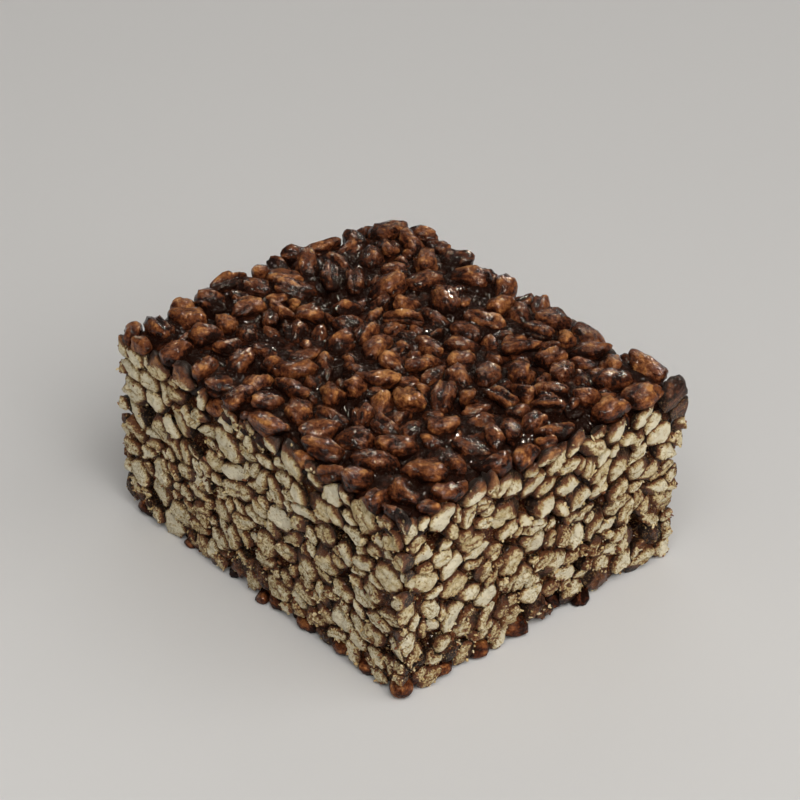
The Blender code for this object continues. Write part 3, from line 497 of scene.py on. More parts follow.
def cut_grains(heap, pick, planes, cut, around, down, rng, knife_cut, cap_rings):
    """Grains the knife went through, as closed grids: angle round the cut by rings from the middle of
    the cut out to its rim, then back round the grain to its far pole.  The cut is rough, its rim
    chipped and bevelled, and some are hollow.  Where the knife tore a grain out whole, the cut bulges
    and keeps its syrup coat."""
    n = len(pick)
    normal, distance = cut[0][pick], cut[1][pick]
    origin = section_middle(heap, pick, normal, distance)
    e1, e2 = plane_basis(normal, heap.axes[pick, 0])
    turn = np.arange(around) * (2.0 * np.pi / around)
    ring = np.cos(turn)[None, :, None] * e1[:, None] + np.sin(turn)[None, :, None] * e2[:, None]
    held = [(p[0][pick], p[1][pick]) for p in planes]
    base = heap.centre[pick] + origin
    rim_way = reach(heap, pick, origin, ring, held)
    rim_point = base[:, None] + ring * rim_way[..., None]
    chip = 0.5 + 0.5 * mottle(rim_point, 0.9)
    chip = 0.22 * chip ** 2 + 0.10 * (0.5 + 0.5 * mottle(rim_point + 30.0, 0.5))
    torn = rng.uniform(0.0, 0.42, n)[:, None] * np.clip(mottle(rim_point + 90.0, 1.3) * 1.7, 0.0, 1.0)
    ragged = 1.0 - chip - torn
    ragged = 0.5 * ragged + 0.25 * (np.roll(ragged, 1, 1) + np.roll(ragged, -1, 1))
    rim_way = rim_way * ragged
    rims, layers, cuts = [], [], []
    hollow = np.where(rng.uniform(size=n) < 0.16, rng.uniform(0.5, 1.3, n), 0.0)[:, None]
    hollow_turn = rng.uniform(0.0, 2.0 * np.pi, n)[:, None]
    bulge = np.where(knife_cut[pick], 0.0, 1.0)[:, None]
    set_back = 0.35 - np.abs(rng.normal(0.0, 0.34, n))[:, None]
    pillow = rng.uniform(0.05, 0.38, n)[:, None]
    lean, lean_turn = rng.normal(0.0, 0.13, n)[:, None], rng.uniform(0.0, 2.0 * np.pi, n)[:, None]
    for share in cap_rings:
        flat = base[:, None] + ring * (share * rim_way)[..., None]
        rough = 0.26 * mottle(flat + 15.0, 1.6) + 0.26 * mottle(flat + 50.0, 0.8)
        pit_syrup_and_shade = np.minimum(rough + 0.10, 0.0)
        rough = rough + 0.16 * mottle(flat + 70.0, 0.45) + set_back
        rough = rough + lean * share * rim_way * np.cos(turn[None] - lean_turn)
        across = share * rim_way
        cuts.append(np.stack([across * np.cos(turn) / rim_way.max(1)[:, None], across * np.sin(turn),
                              np.ones_like(across)], 2))
        off_middle = share ** 2 + 0.25 - share * np.cos(turn[None] - hollow_turn)
        sunk = hollow * np.exp(-off_middle / 0.10)
        bevel = 0.16 * share ** 10 + pillow * share ** 3.5
        dome = bulge * (0.30 * (1.0 - share ** 2) - 0.35)
        layers.append(flat + normal[:, None] * (rough - sunk - bevel + dome - 0.10)[..., None])
        # the rim value, which the finish turns brown, is lowered in the hollows and the pits: partly syrup,
        # partly painted shade
        rims.append((1.0 - share) * rim_way - 0.9 * sunk + 1.7 * pit_syrup_and_shade)
    for k in range(1, down + 1):
        dip = 0.5 * np.pi * k / (down + 0.06)
        rays = np.cos(dip) * ring - np.sin(dip) * normal[:, None]
        way = reach(heap, pick, origin, rays, held)
        point = base[:, None] + rays * way[..., None]
        swell = 0.10 * mottle(point, 1.3) + 0.05 * mottle(point + 60.0, 0.6)
        layers.append(point + rays * swell[..., None])
        rims.append(-way * np.sin(dip) * np.ones(around)[None])
        cuts.append(np.zeros(point.shape))
    points, rim, cut_place = np.stack(layers, 1), np.stack(rims, 1), np.stack(cuts, 1)
    rim = np.where(knife_cut[pick][:, None, None], rim, WHOLE)
    points[..., 2] = np.maximum(points[..., 2], 0.0)
    local = np.einsum("nki,nabi->nabk", heap.axes[pick], points - heap.centre[pick][:, None, None])
    return points, local + rng.uniform(0.0, 60.0, (n, 3))[:, None, None], rim, cut_place


def grid_faces(count, rings, around):
    """Faces of that many closed grids: quads between the rings and one flat face at each end."""
    first = np.arange(count)[:, None, None] * rings * around
    r = np.arange(rings - 1)[None, :, None] * around
    j = np.arange(around)[None, None, :]
    k = (j + 1) % around
    quads = np.stack([first + r + j, first + r + around + j, first + r + around + k, first + r + k], 3)
    start = first[:, 0] + np.arange(around)[None, :]
    end = first[:, 0] + (rings - 1) * around + np.arange(around)[None, ::-1]
    return quads.reshape(-1, 4), np.concatenate([start, end])


def new_piece(name, groups, material, smooth=True):
    """One mesh of closed grids.  Each group is (points, place along the grain, millimetres in from the
    rim of the cut, place on the cut, lot of the grain, depth below the surface); points run (grain,
    ring, around).  The depth darkens the coat and the syrup as painted shade, and holds the painted
    shade of the gaps of the top and, on the syrup, that of its holes.  The millimetres from the rim are
    lowered in the pits and hollows of a cut, for syrup and painted shade there, and on a whole grain
    the place on the cut holds the share of its height and its relief, which make its crests lighter,
    partly as painted light."""
    verts, quads, ends, place, rim, lot, deep, cut = [], [], [], [], [], [], [], []
    total = 0
    for points, local, edge, on_cut, draw, depth in groups:
        count, rings, around = points.shape[:3]
        q, e = grid_faces(count, rings, around)
        quads.append(q + total)
        ends.append(e + total)
        verts.append(points.reshape(-1, 3))
        place.append(local.reshape(-1, 3))
        rim.append(edge.ravel())
        lot.append(np.broadcast_to(draw[:, None, None], points.shape[:3]).ravel())
        deep.append(depth.ravel())
        cut.append(on_cut.reshape(-1, 3))
        total += count * rings * around
    flat = np.concatenate(verts) - (CENTRE_X, 0.0, 0.0)
    loops = [faces.ravel() for faces in quads + ends]
    sizes = np.concatenate([np.full(len(faces), faces.shape[1]) for faces in quads + ends])
    mesh = bpy.data.meshes.new(name)
    mesh.vertices.add(len(flat))
    mesh.vertices.foreach_set("co", (flat * MILLIMETRE).ravel())
    mesh.loops.add(int(sizes.sum()))
    mesh.loops.foreach_set("vertex_index", np.concatenate(loops).astype(np.int32))
    mesh.polygons.add(len(sizes))
    mesh.polygons.foreach_set("loop_start", np.concatenate([[0], np.cumsum(sizes)[:-1]]).astype(np.int32))
    mesh.polygons.foreach_set("use_smooth", np.full(len(sizes), smooth))
    mesh.update(calc_edges=True)
    mesh.validate()
    for label, values in (("rim", rim), ("lot", lot), ("deep", deep)):
        made = mesh.attributes.new(label, "FLOAT", "POINT")
        made.data.foreach_set("value", np.concatenate(values).astype(np.float32))
    for label, values in (("place", place), ("cut", cut)):
        made = mesh.attributes.new(label, "FLOAT_VECTOR", "POINT")
        made.data.foreach_set("vector", np.concatenate(values).astype(np.float32).ravel())
    mesh.materials.append(material)
    piece = bpy.data.objects.new(name, mesh)
    bpy.context.scene.collection.objects.link(piece)
    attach(piece, "root")
    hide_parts(NODE)


# The syrup core: points round it and rings on its top, sides and bottom
CORE_AROUND = 480
CORE_TOP, CORE_SIDE, CORE_BOTTOM = 52, 62, 12
# How far it lies inside the knife faces, below the crests and above the tray, how round its upper
# edge is, and how deep a gap runs into its side
CORE_INSET = 2.6
CORE_SINK = 3.9
CORE_FOOT = 1.0
CORE_ROUND = 2.6
HOLE_DEPTH = 4.0
# The zones of the core, and how high the syrup climbs at a grain and how lumpy it is in each
ON_TOP, ON_SIDE, ON_BOTTOM = range(3)
CORE_CLIMB = np.array((1.9, 1.1, 0.45))
CORE_LUMPS = np.array((0.5, 0.4, 0.2))
# Where the first ring of the top and the last of the bottom lie, as a share of the way out
CORE_POLE = 0.012

CRUMB_AROUND, CRUMB_DOWN = 5, 3
# Where the first ring of a crumb lies, as an angle from its tip
CRUMB_TIP = 0.4


def core_outline(count, half_x, half_y, corner):
    """Points at even steps of length round a rectangle with rounded corners, counterclockwise, and
    their outward directions."""
    straight_x, straight_y = 2.0 * (half_x - corner), 2.0 * (half_y - corner)
    arc = 0.5 * np.pi * corner
    legs = np.array([straight_y, arc, straight_x, arc, straight_y, arc, straight_x, arc])
    ends = np.cumsum(legs)
    s = (np.arange(count) + 0.5) * ends[-1] / count
    leg = np.searchsorted(ends, s)
    t = (s - (ends - legs)[leg]) / legs[leg]
    side = leg // 2
    heading = 0.5 * np.pi * side
    bend = np.where(leg % 2 == 1, t, 0.0) * 0.5 * np.pi
    out = np.stack([np.cos(heading + bend), np.sin(heading + bend)], 1)
    corners = np.array([(1, 1), (-1, 1), (-1, -1), (1, -1)])[side] * (half_x - corner, half_y - corner)
    along = np.stack([-np.sin(heading), np.cos(heading)], 1)
    length = np.where(side % 2 == 0, straight_y, straight_x)
    back = np.where(leg % 2 == 0, (1.0 - t) * length, 0.0)
    return corners - along * back[:, None] + out * corner, out


def gap_to_grains(points, heap):
    """The least distance from each point to the grains, taken as the distance to the centre less the
    ellipsoid's radius on the same line; 0 inside a grain."""
    least = np.full(len(points), 9.0)
    for i in range(heap.count):
        d = points - heap.centre[i]
        near = np.nonzero((d * d).sum(1) < (heap.half[i].max() + 2.5) ** 2)[0]
        d = d[near]
        k = np.sqrt((((d @ heap.axes[i].T) / heap.half[i]) ** 2).sum(1))
        gap = np.sqrt((d * d).sum(1)) * (1.0 - 1.0 / np.maximum(k, 1e-3))
        least[near] = np.minimum(least[near], np.maximum(gap, 0.0))
    return least


def core_rings():
    """The core as rings that widen over the top, go down the sides and close under the bottom, before
    its syrup climbs or sags: their points, outward directions and zones."""
    half_x, half_y = HALF_X - CORE_INSET, HALF_Y - CORE_INSET
    outline, out = core_outline(CORE_AROUND, half_x, half_y, 1.6)
    to_corner = np.abs(outline) - (half_x, half_y)
    outline = outline + np.sign(outline) * 0.5 * np.exp(-(to_corner ** 2).sum(1) / 8.0)[:, None]
    outline, out = outline[::-1], out[::-1]
    rings, pushes = [], []
    for share in np.linspace(CORE_POLE, 1.0, CORE_TOP):
        xy = outline * share
        z = crest_height(xy[:, 0], xy[:, 1]) - CORE_SINK
        for gx, gy, radius in TOP_GAPS:
            z = z - 2.6 * np.exp(-((xy[:, 0] - gx) ** 2 + (xy[:, 1] - gy) ** 2) / radius ** 2)
        turned = np.clip((share - 0.93) / 0.07, 0.0, 1.0)
        z = z - CORE_ROUND * (1.0 - np.sqrt(1.0 - turned ** 2))
        rings.append(np.column_stack([xy, z]))
        tip = share ** 40
        pushes.append(np.column_stack([out * tip, np.full(CORE_AROUND, 1.0 - 0.6 * tip)]))
    rim = rings[-1]
    for share in np.linspace(0.0, 1.0, CORE_SIDE + 2)[1:-1]:
        z = rim[:, 2] * (1.0 - share) + CORE_FOOT * share
        lean = right_lean(-outline[:, 1], z) * np.clip(out[:, 0], 0.0, 1.0)
        rings.append(np.column_stack([outline[:, 0] + lean, outline[:, 1], z]))
        pushes.append(np.column_stack([out, np.zeros(CORE_AROUND)]))
    for share in np.linspace(1.0, CORE_POLE, CORE_BOTTOM):
        rings.append(np.column_stack([outline * share, np.full(CORE_AROUND, CORE_FOOT)]))
        tip = share ** 40
        pushes.append(np.column_stack([out * tip * 0.5, np.full(CORE_AROUND, -1.0 + 0.5 * tip)]))
    zone = np.repeat([ON_TOP, ON_SIDE, ON_BOTTOM], [CORE_TOP, CORE_SIDE, CORE_BOTTOM])
    return np.stack(rings), np.stack(pushes), np.repeat(zone[:, None], CORE_AROUND, axis=1)


def core_holes(points, zone):
    """The holes of the core's sides: 1 in the middle of a gap, falling off round it, 0 elsewhere."""
    hole = np.zeros(points.shape[:2])
    for face, gaps in enumerate(side_gaps()):
        normal, side, out, half = FACES[face]
        near_face = np.abs(points @ normal - out) < CORE_INSET + 2.0
        inside = np.clip((half - np.abs(points @ side)) / 9.0, 0.0, 1.0)
        for along, height, radius in gaps:
            off = (points @ side - along) ** 2 + (points[..., 2] - height) ** 2
            hole = np.maximum(hole, near_face * inside * np.exp(-off / (radius + 0.5) ** 2))
    return np.where(zone == ON_SIDE, hole, 0.0)


def syrup_core(heap, material):
    """The syrup as one closed grid.  Every point of its rings moves along its own outward direction by
    the sum of a meniscus, which falls off exponentially with the gap to the nearest grain, and two
    sizes of noise, less the depth of a hole.  Returns the places between the grains of the sides, with
    their outward directions, where crumbs stick."""
    points, push, zone = core_rings()
    hole = core_holes(points, zone)
    gap = gap_to_grains(points.reshape(-1, 3), heap).reshape(points.shape[:2])
    climb = CORE_CLIMB[zone] * np.exp(-gap / 0.5)
    lump = CORE_LUMPS[zone] * mottle(points, 2.6)
    lump = lump + 0.30 * mottle(points + 20.0, 0.9)
    points = points + push * (climb * (1.0 - hole) + lump - HOLE_DEPTH * hole)[..., None]
    points[..., 2] = np.maximum(points[..., 2], 0.05)
    # painted shade: the syrup is darker in the holes of its sides and in the gaps of the top
    deep = 3.0 * hole + gap_shade(points)
    rim, on_cut = np.full(points.shape[:2], WHOLE), np.zeros(points.shape)
    new_piece("syrup_core", [(points[None], points[None], rim[None], on_cut[None], np.array([0.5]),
                              deep[None])], material)
    open_syrup = (zone == ON_SIDE) & (gap > 0.2) & (hole < 0.3)
    return points[open_syrup], push[open_syrup]


def crumbs(rng, places, normals, sizes):
    """Crumbs as small lumpy closed grids: an ellipsoid of random half lengths, turned at random, with
    its radius shaken by noise, half sunk where the place says."""
    n = len(places)
    lean = np.linspace(CRUMB_TIP, np.pi - CRUMB_TIP, CRUMB_DOWN)
    turn = np.arange(CRUMB_AROUND) * (2.0 * np.pi / CRUMB_AROUND)
    lean, turn = np.meshgrid(lean, turn, indexing="ij")
    unit = np.stack([np.cos(lean), np.sin(lean) * np.cos(turn), np.sin(lean) * np.sin(turn)], 2)
    frames = np.linalg.qr(rng.normal(size=(n, 3, 3)))[0]
    frames[:, :, 0] *= np.sign(np.linalg.det(frames))[:, None]
    half = sizes[:, None] * rng.uniform((0.7, 0.5, 0.35), (1.25, 1.0, 0.8), (n, 3))
    points = np.einsum("nik,nabk->nabi", frames, unit[None] * half[:, None, None])
    middle = (places + normals * (0.25 * sizes)[:, None])[:, None, None]
    points = points + middle
    shake = 0.65 * mottle(points, 0.35)
    points = points + (points - middle) * shake[..., None]
    points[..., 2] = np.maximum(points[..., 2], 0.0)
    return points


# Finishes

def plug(tree, node, inputs):
    """Give each named or numbered input of a node its value or its link."""
    for socket, value in inputs.items():
        if isinstance(value, bpy.types.NodeSocket):
            tree.links.new(value, node.inputs[socket])
        else:
            node.inputs[socket].default_value = value


def add(tree, kind, inputs=None, **settings):
    """A new node with its settings and inputs."""
    made = tree.nodes.new(kind)
    for label, value in settings.items():
        setattr(made, label, value)
    plug(tree, made, inputs or {})
    return made


def new_finish(name):
    """A new material, with its nodes and its shader."""
    made = bpy.data.materials.new(name)
    made.use_nodes = True
    return made, made.node_tree, made.node_tree.nodes["Principled BSDF"]


def maths(tree, operation, first, second=0.0, third=0.0):
    """The result of a Math node."""
    return add(tree, "ShaderNodeMath", {0: first, 1: second, 2: third}, operation=operation).outputs[0]


def plus(tree, base, parts):
    """The base plus each value times its gain."""
    for value, gain in parts:
        base = maths(tree, "MULTIPLY_ADD", value, gain, base)
    return base


def swing(tree, value, gain):
    """A value that lies round 0.5, made to swing about 0 with that gain."""
    return maths(tree, "MULTIPLY_ADD", value, gain, -gain / 2)


def between(tree, value, low, high):
    """0 below the low value, 1 above the high one, smooth between them."""
    return add(tree, "ShaderNodeMapRange", {"Value": value, "From Min": low, "From Max": high},
               interpolation_type="SMOOTHSTEP").outputs[0]


def noise(tree, place, scale, detail=3.0, roughness=0.5, distortion=0.0):
    """Fractal noise, about 0.5 on average, with that many lumps to the unit of the place."""
    return add(tree, "ShaderNodeTexNoise", {"Vector": place, "Scale": scale, "Detail": detail,
                                            "Roughness": roughness, "Distortion": distortion}).outputs[0]


def mixed(tree, share, first, second):
    """Two colours mixed by a share."""
    made = add(tree, "ShaderNodeMix", {0: share, 6: first, 7: second}, data_type="RGBA")
    return made.outputs[2]


def ramp(tree, value, stops):
    """A colour read from stops of (place, colour) along a value."""
    made = add(tree, "ShaderNodeValToRGB", {0: value})
    points = made.color_ramp.elements
    while len(points) < len(stops):
        points.new(0.5)
    for point, (place, colour) in zip(points, stops):
        point.position, point.color = place, colour
    return made.outputs[0]


def attribute(tree, name, output="Fac"):
    """A value kept at the points of the mesh."""
    return add(tree, "ShaderNodeAttribute", attribute_name=name).outputs[output]


def object_place(tree):
    """The place on the piece, in metres."""
    return add(tree, "ShaderNodeTexCoord").outputs["Object"]


def xyz(tree, vector):
    """The three parts of a vector."""
    return add(tree, "ShaderNodeSeparateXYZ", {0: vector}).outputs


def stretched(tree, place, scale):
    """A place with each of its axes scaled."""
    return add(tree, "ShaderNodeMapping", {"Vector": place, "Scale": scale}).outputs[0]


def bump(tree, height, distance, normal=None):
    """A bump of that height in metres for heights from 0 to 1."""
    inputs = {"Height": height, "Distance": distance, "Strength": 1.0}
    if normal is not None:
        inputs["Normal"] = normal
    return add(tree, "ShaderNodeBump", inputs).outputs[0]


SYRUP_BLACK = (0.012, 0.0036, 0.0018, 1.0)
SYRUP_DARK = (0.066, 0.0160, 0.0055, 1.0)
SYRUP_BROWN = (0.140, 0.041, 0.0130, 1.0)
SYRUP_RUST = (0.230, 0.078, 0.023, 1.0)
SYRUP_AMBER = (0.47, 0.205, 0.062, 1.0)
PUFF_CREAM = (0.78, 0.655, 0.41, 1.0)
PUFF_PALE = (0.88, 0.79, 0.58, 1.0)
PUFF_STRAW = (0.58, 0.43, 0.19, 1.0)
PUFF_TAN = (0.36, 0.195, 0.075, 1.0)
PAPER_DARK = (0.667, 0.655, 0.641, 1.0)
PAPER_LIGHT = (0.693, 0.680, 0.665, 1.0)

# Heights in metres: the cuts are stained from the first down to the second, and the coat of the top
# runs down over the highest cuts, to a ragged edge between the third and the fourth
STAIN_FROM, STAIN_TO = 0.030, 0.002
COAT_EDGE_LOW, COAT_EDGE_HIGH = 0.0342, 0.0364
# Heights between which the syrup of the sides turns into the syrup of the top, painted darker as shade
# where it lies low between the grains
SYRUP_EDGE_LOW, SYRUP_EDGE_HIGH = 0.029, 0.033


def coat_colour(tree, place, lot, deep, thin_coat_and_crest_light, fold=0.0):
    """Syrup over a grain: amber in patches where the coat is thin, brown to near black where it is
    thick.  It is lighter on the top of the grain, on its outer side and on the crests of its folds,
    partly for a thinner coat and partly as painted light from above, and darker low down, in the
    furrows and in the gaps of the top, partly for a thicker coat and partly as painted shade."""
    streaks = noise(tree, stretched(tree, place, (0.5, 1.0, 1.0)), 0.8, 2.0, 0.5, 0.4)
    blots = noise(tree, place, 0.42, 2.0)
    grain = noise(tree, place, 1.6, 4.0, 0.65)
    thin = swing(tree, streaks, 1.3)
    for value, gain in ((blots, 1.1), (lot, 0.30), (grain, 1.5)):
        thin = maths(tree, "ADD", thin, swing(tree, value, gain))
    # the depth darkens the coat and the crests lighten it: partly thicker and thinner coat, partly painted
    # shade and painted light
    thin = plus(tree, thin, ((deep, -0.10), (thin_coat_and_crest_light, 0.28), (fold, 0.34)))
    thin = maths(tree, "ADD", thin, 0.28)
    return ramp(tree, thin, [(0.10, SYRUP_BLACK), (0.34, SYRUP_DARK), (0.54, SYRUP_BROWN),
                             (0.74, SYRUP_RUST), (1.0, SYRUP_AMBER)])


def coat_bump(tree, place, fold, fine):
    """Folds of the syrup, drawn out along the grain, and fine wrinkles, of these heights in metres."""
    folds = noise(tree, stretched(tree, place, (0.6, 1.0, 1.0)), 1.0, 2.0, 0.5, 0.8)
    wrinkles = noise(tree, place, 3.0, 2.0)
    return bump(tree, wrinkles, fine, bump(tree, folds, fold))


def glaze_finish():
    """Whole grains under a glossy coat of dark syrup."""
    made, tree, shader = new_finish("cocoa_glaze")
    place = attribute(tree, "place", "Vector")
    thin_coat_and_crest_light, fold, _ = xyz(tree, attribute(tree, "cut", "Vector"))
    dull = noise(tree, place, 0.8)
    plug(tree, shader, {
        "Base Color": coat_colour(tree, place, attribute(tree, "lot"), attribute(tree, "deep"), thin_coat_and_crest_light, fold),
        "Roughness": maths(tree, "MULTIPLY_ADD", dull, 0.4, 0.25),
        "Normal": coat_bump(tree, place, 0.0006, 0.00016),
        "Coat Normal": coat_bump(tree, place, 0.0003, 0.00006),
        "Coat Weight": maths(tree, "MULTIPLY_ADD", between(tree, thin_coat_and_crest_light, -0.2, 0.7), 0.8, 0.2),
        "Specular IOR Level": 0.05,
        "Coat Roughness": 0.08,
    })
    return made


def crease_line(tree, place, lot):
    """The dark crease along the middle of some cuts: 1 on it, 0 off it."""
    along, across, on_cut = xyz(tree, attribute(tree, "cut", "Vector"))
    wander = swing(tree, noise(tree, place, 0.8, 2.0), 1.3)
    line = between(tree, maths(tree, "ABSOLUTE", maths(tree, "ADD", across, wander)), 0.34, 0.02)
    short = between(tree, maths(tree, "ABSOLUTE", along), 0.75, 0.5)
    for share in (short, between(tree, lot, 0.62, 0.68), on_cut):
        line = maths(tree, "MULTIPLY", line, share)
    return line


def cut_finish():
    """Grains with a knife cut: cream and porous inside, ragged brown lines of syrup round the rim, more
    stained towards the bottom, and the syrup coat outside the cut.  The pores, pits and hollows of the
    cut are darker, partly syrup and partly painted shade, and the coat outside the cut is darker as
    painted shade the further it lies behind the cut."""
    made, tree, shader = new_finish("cut_puffed_grain")
    place = attribute(tree, "place", "Vector")
    rim, lot, deep = attribute(tree, "rim"), attribute(tree, "lot"), attribute(tree, "deep")
    height = xyz(tree, object_place(tree))[2]

    ragged = maths(tree, "MULTIPLY_ADD", noise(tree, place, 1.7, 5.0, 0.78), 2.0, -0.93)
    edge = maths(tree, "MULTIPLY_ADD", ragged, 0.0022, height)
    coated = between(tree, edge, COAT_EDGE_LOW, COAT_EDGE_HIGH)
    uncoated = maths(tree, "SUBTRACT", 1.0, coated)
    # cream away from the rim and the coat; the rim value is lowered in the pits and hollows, where the
    # darker colour is partly syrup and partly painted shade
    free_of_syrup_and_shade = plus(tree, maths(tree, "ADD", rim, ragged), ((coated, -3.0),))

    low = between(tree, height, STAIN_FROM, STAIN_TO)
    patches = noise(tree, place, 0.55, 2.0)
    stain = maths(tree, "MULTIPLY_ADD", low, 0.50, maths(tree, "MULTIPLY", lot, 0.30))
    stain = maths(tree, "ADD", stain, maths(tree, "MULTIPLY_ADD", patches, 0.8, -0.45))
    specks = plus(tree, noise(tree, place, 2.6, 3.0, 0.6), ((stain, 0.22),))
    speck = between(tree, specks, 0.575, 0.72)
    cells = add(tree, "ShaderNodeTexVoronoi", {"Vector": place, "Scale": 2.3}).outputs[0]
    # the pores are darker: partly syrup, partly painted shade
    pore_syrup_and_shade = maths(tree, "MULTIPLY", between(tree, cells, 0.30, 0.06), between(tree, patches, 0.38, 0.60))
    crease = crease_line(tree, place, lot)

    cream = between(tree, free_of_syrup_and_shade, -0.65, 0.75)
    value = plus(tree, cream, ((speck, -0.42), (pore_syrup_and_shade, -0.25), (crease, -0.40)))
    tone = noise(tree, place, 0.9, 4.0, 0.6)
    value = maths(tree, "ADD", value, maths(tree, "MULTIPLY_ADD", tone, 1.5, -0.86))
    shade = maths(tree, "FRACT", maths(tree, "MULTIPLY", lot, 7.31))
    value = maths(tree, "ADD", value, maths(tree, "MULTIPLY_ADD", shade, -0.50, 0.28))
    inside = ramp(tree, value, [(0.0, SYRUP_BROWN), (0.13, SYRUP_RUST), (0.30, PUFF_TAN),
                                (0.52, PUFF_STRAW), (0.78, PUFF_CREAM), (1.0, PUFF_PALE)])

    # painted shade: the coat of a cut grain grows darker the further it lies behind the cut
    sunk = maths(tree, "MINIMUM", maths(tree, "MULTIPLY_ADD", rim, -3.6, -2.4), 4.5)
    outside = coat_colour(tree, place, lot, maths(tree, "ADD", deep, sunk), 0.3)
    dust = between(tree, noise(tree, place, 2.8, 4.0, 0.7), 0.54, 0.64)
    outside = mixed(tree, maths(tree, "MULTIPLY", dust, uncoated), outside, PUFF_TAN)

    bare = maths(tree, "MULTIPLY", between(tree, rim, -0.80, -0.35), uncoated)
    dry = maths(tree, "MULTIPLY", between(tree, value, 0.15, 0.45), bare)
    foam = noise(tree, place, 2.2, 5.0, 0.7)
    foam = plus(tree, foam, ((pore_syrup_and_shade, -0.4), (speck, -0.3), (crease, -0.3)))
    plug(tree, shader, {
        "Base Color": mixed(tree, bare, outside, inside),
        "Roughness": maths(tree, "MULTIPLY_ADD", dry, 0.42, 0.36),
        "Coat Weight": maths(tree, "MULTIPLY_ADD", dry, -0.18, 0.18),
        "Coat Roughness": 0.16,
        "Normal": bump(tree, foam, 0.0006),
    })
    return made


def syrup_finish():
    """The syrup between the grains: near black, glossy, with brown where it is stirred with dust."""
    made, tree, shader = new_finish("cocoa_syrup")
    where = object_place(tree)
    place = stretched(tree, where, (1.0 / MILLIMETRE,) * 3)
    high = between(tree, xyz(tree, where)[2], SYRUP_EDGE_LOW, SYRUP_EDGE_HIGH)
    clouds = noise(tree, place, 0.5, 5.0, 0.6)
    # painted shade: darker on the top, where the syrup lies low between the grains, and with the depth, in
    # the holes of the sides and the gaps of the top
    clouds = plus(tree, clouds, ((high, -0.18), (attribute(tree, "deep"), -0.10)))
    colour = ramp(tree, clouds, [(0.36, SYRUP_BLACK), (0.50, SYRUP_DARK), (0.66, SYRUP_BROWN),
                                 (0.82, SYRUP_RUST)])
    dust = between(tree, noise(tree, place, 2.6, 4.0, 0.7), 0.53, 0.62)
    dust = maths(tree, "MULTIPLY", dust, maths(tree, "SUBTRACT", 1.0, high))
    folds = plus(tree, noise(tree, place, 1.3, 5.0, 0.6, 0.6), ((dust, 0.4),))
    plug(tree, shader, {
        "Base Color": mixed(tree, dust, colour, PUFF_TAN),
        "Roughness": maths(tree, "MULTIPLY_ADD", clouds, 0.6, 0.1),
        "Normal": bump(tree, folds, 0.0004),
        "Specular IOR Level": 0.05,
        "Coat Weight": 0.25,
        "Coat Roughness": 0.10,
    })
    return made


def crumb_finish(name, stops):
    """Crumbs left by the knife, each its own shade."""
    made, tree, shader = new_finish(name)
    place = attribute(tree, "place", "Vector")
    shade = maths(tree, "MULTIPLY", attribute(tree, "lot"), 0.7)
    shade = maths(tree, "ADD", shade, maths(tree, "MULTIPLY", noise(tree, place, 2.0), 0.5))
    plug(tree, shader, {
        "Base Color": ramp(tree, shade, stops),
        "Roughness": maths(tree, "MULTIPLY_ADD", shade, 0.3, 0.45),
        "Normal": bump(tree, noise(tree, place, 3.0, 4.0), 0.0002),
    })
    return made


def floor_finish():
    """Pale grey paper, a little cloudy."""
    made, tree, shader = new_finish("pale_paper")
    clouds = noise(tree, object_place(tree), 1.6)
    plug(tree, shader, {
        "Base Color": ramp(tree, clouds, [(0.3, PAPER_DARK), (0.7, PAPER_LIGHT)]),
        "Roughness": 0.9,
        "Specular IOR Level": 0.1,
    })
    return made


# Pieces

# How much the grains of the top, the sides and the bottom are swollen, so that neighbours meet
TOP_SWELL = 1.17
SIDE_SWELL = 1.44
BOTTOM_SWELL = 1.15

# Points round each grain, and steps from tip to tip or behind the cut
TOP_GRID = (24, 15)
UNDER_GRID = (18, 11)
FRONT_GRID = (28, 4)
BACK_GRID = (22, 3)
# Rings of a cut, as shares of the way from its middle to its rim, for the seen and the hidden sides
CAP_RINGS = np.array((0.03, 0.26, 0.48, 0.68, 0.84, 0.95, 1.0))
BACK_CAP_RINGS = np.array((0.03, 0.36, 0.66, 0.90, 1.0))

# A whole grain stands at the far right corner, past these places
FAR_CORNER = (HALF_X - 3.2, HALF_Y - 3.2, CUT_TOP - 3.0)
# A grain of the top shows a cut only where its middle lies this far below the top of the cuts
CUT_BELOW = 0.6
# Share of the lowest grains that the knife tears out whole, and the height over which it falls off
TORN_SHARE = 0.45
TORN_HEIGHT = 5.0
# Wrinkles on the pressed grains, as a share of those on the others
PRESSED_WRINKLE = 0.6

# Crumbs: piece, finish, number, usual size and shades
CRUMBS = [
    ("crumbs_pale", "crumb_pale", 5200, 0.19, [(0.1, PUFF_TAN), (0.5, PUFF_STRAW), (1.0, PUFF_CREAM)]),
    ("crumbs_brown", "crumb_brown", 4600, 0.18,
     [(0.15, SYRUP_DARK), (0.5, SYRUP_BROWN), (0.8, SYRUP_RUST), (1.0, PUFF_TAN)]),
]
CRUMB_SPREAD = 0.45
LARGEST_CRUMB = 0.42
# The chance of a crumb falls off with the height, over this many millimetres, to at least this much
CRUMB_HEIGHT = 16.0
CRUMB_LEAST = 0.16
# Crumbs on the syrup, as a share of those on the rims
CRUMBS_ON_SYRUP = 0.8


def depth_below(points):
    """Depth below the crests or inside the knife faces, whichever is less."""
    return np.minimum(crest_height(points[..., 0], points[..., 1]) - points[..., 2], knife_distance(points))


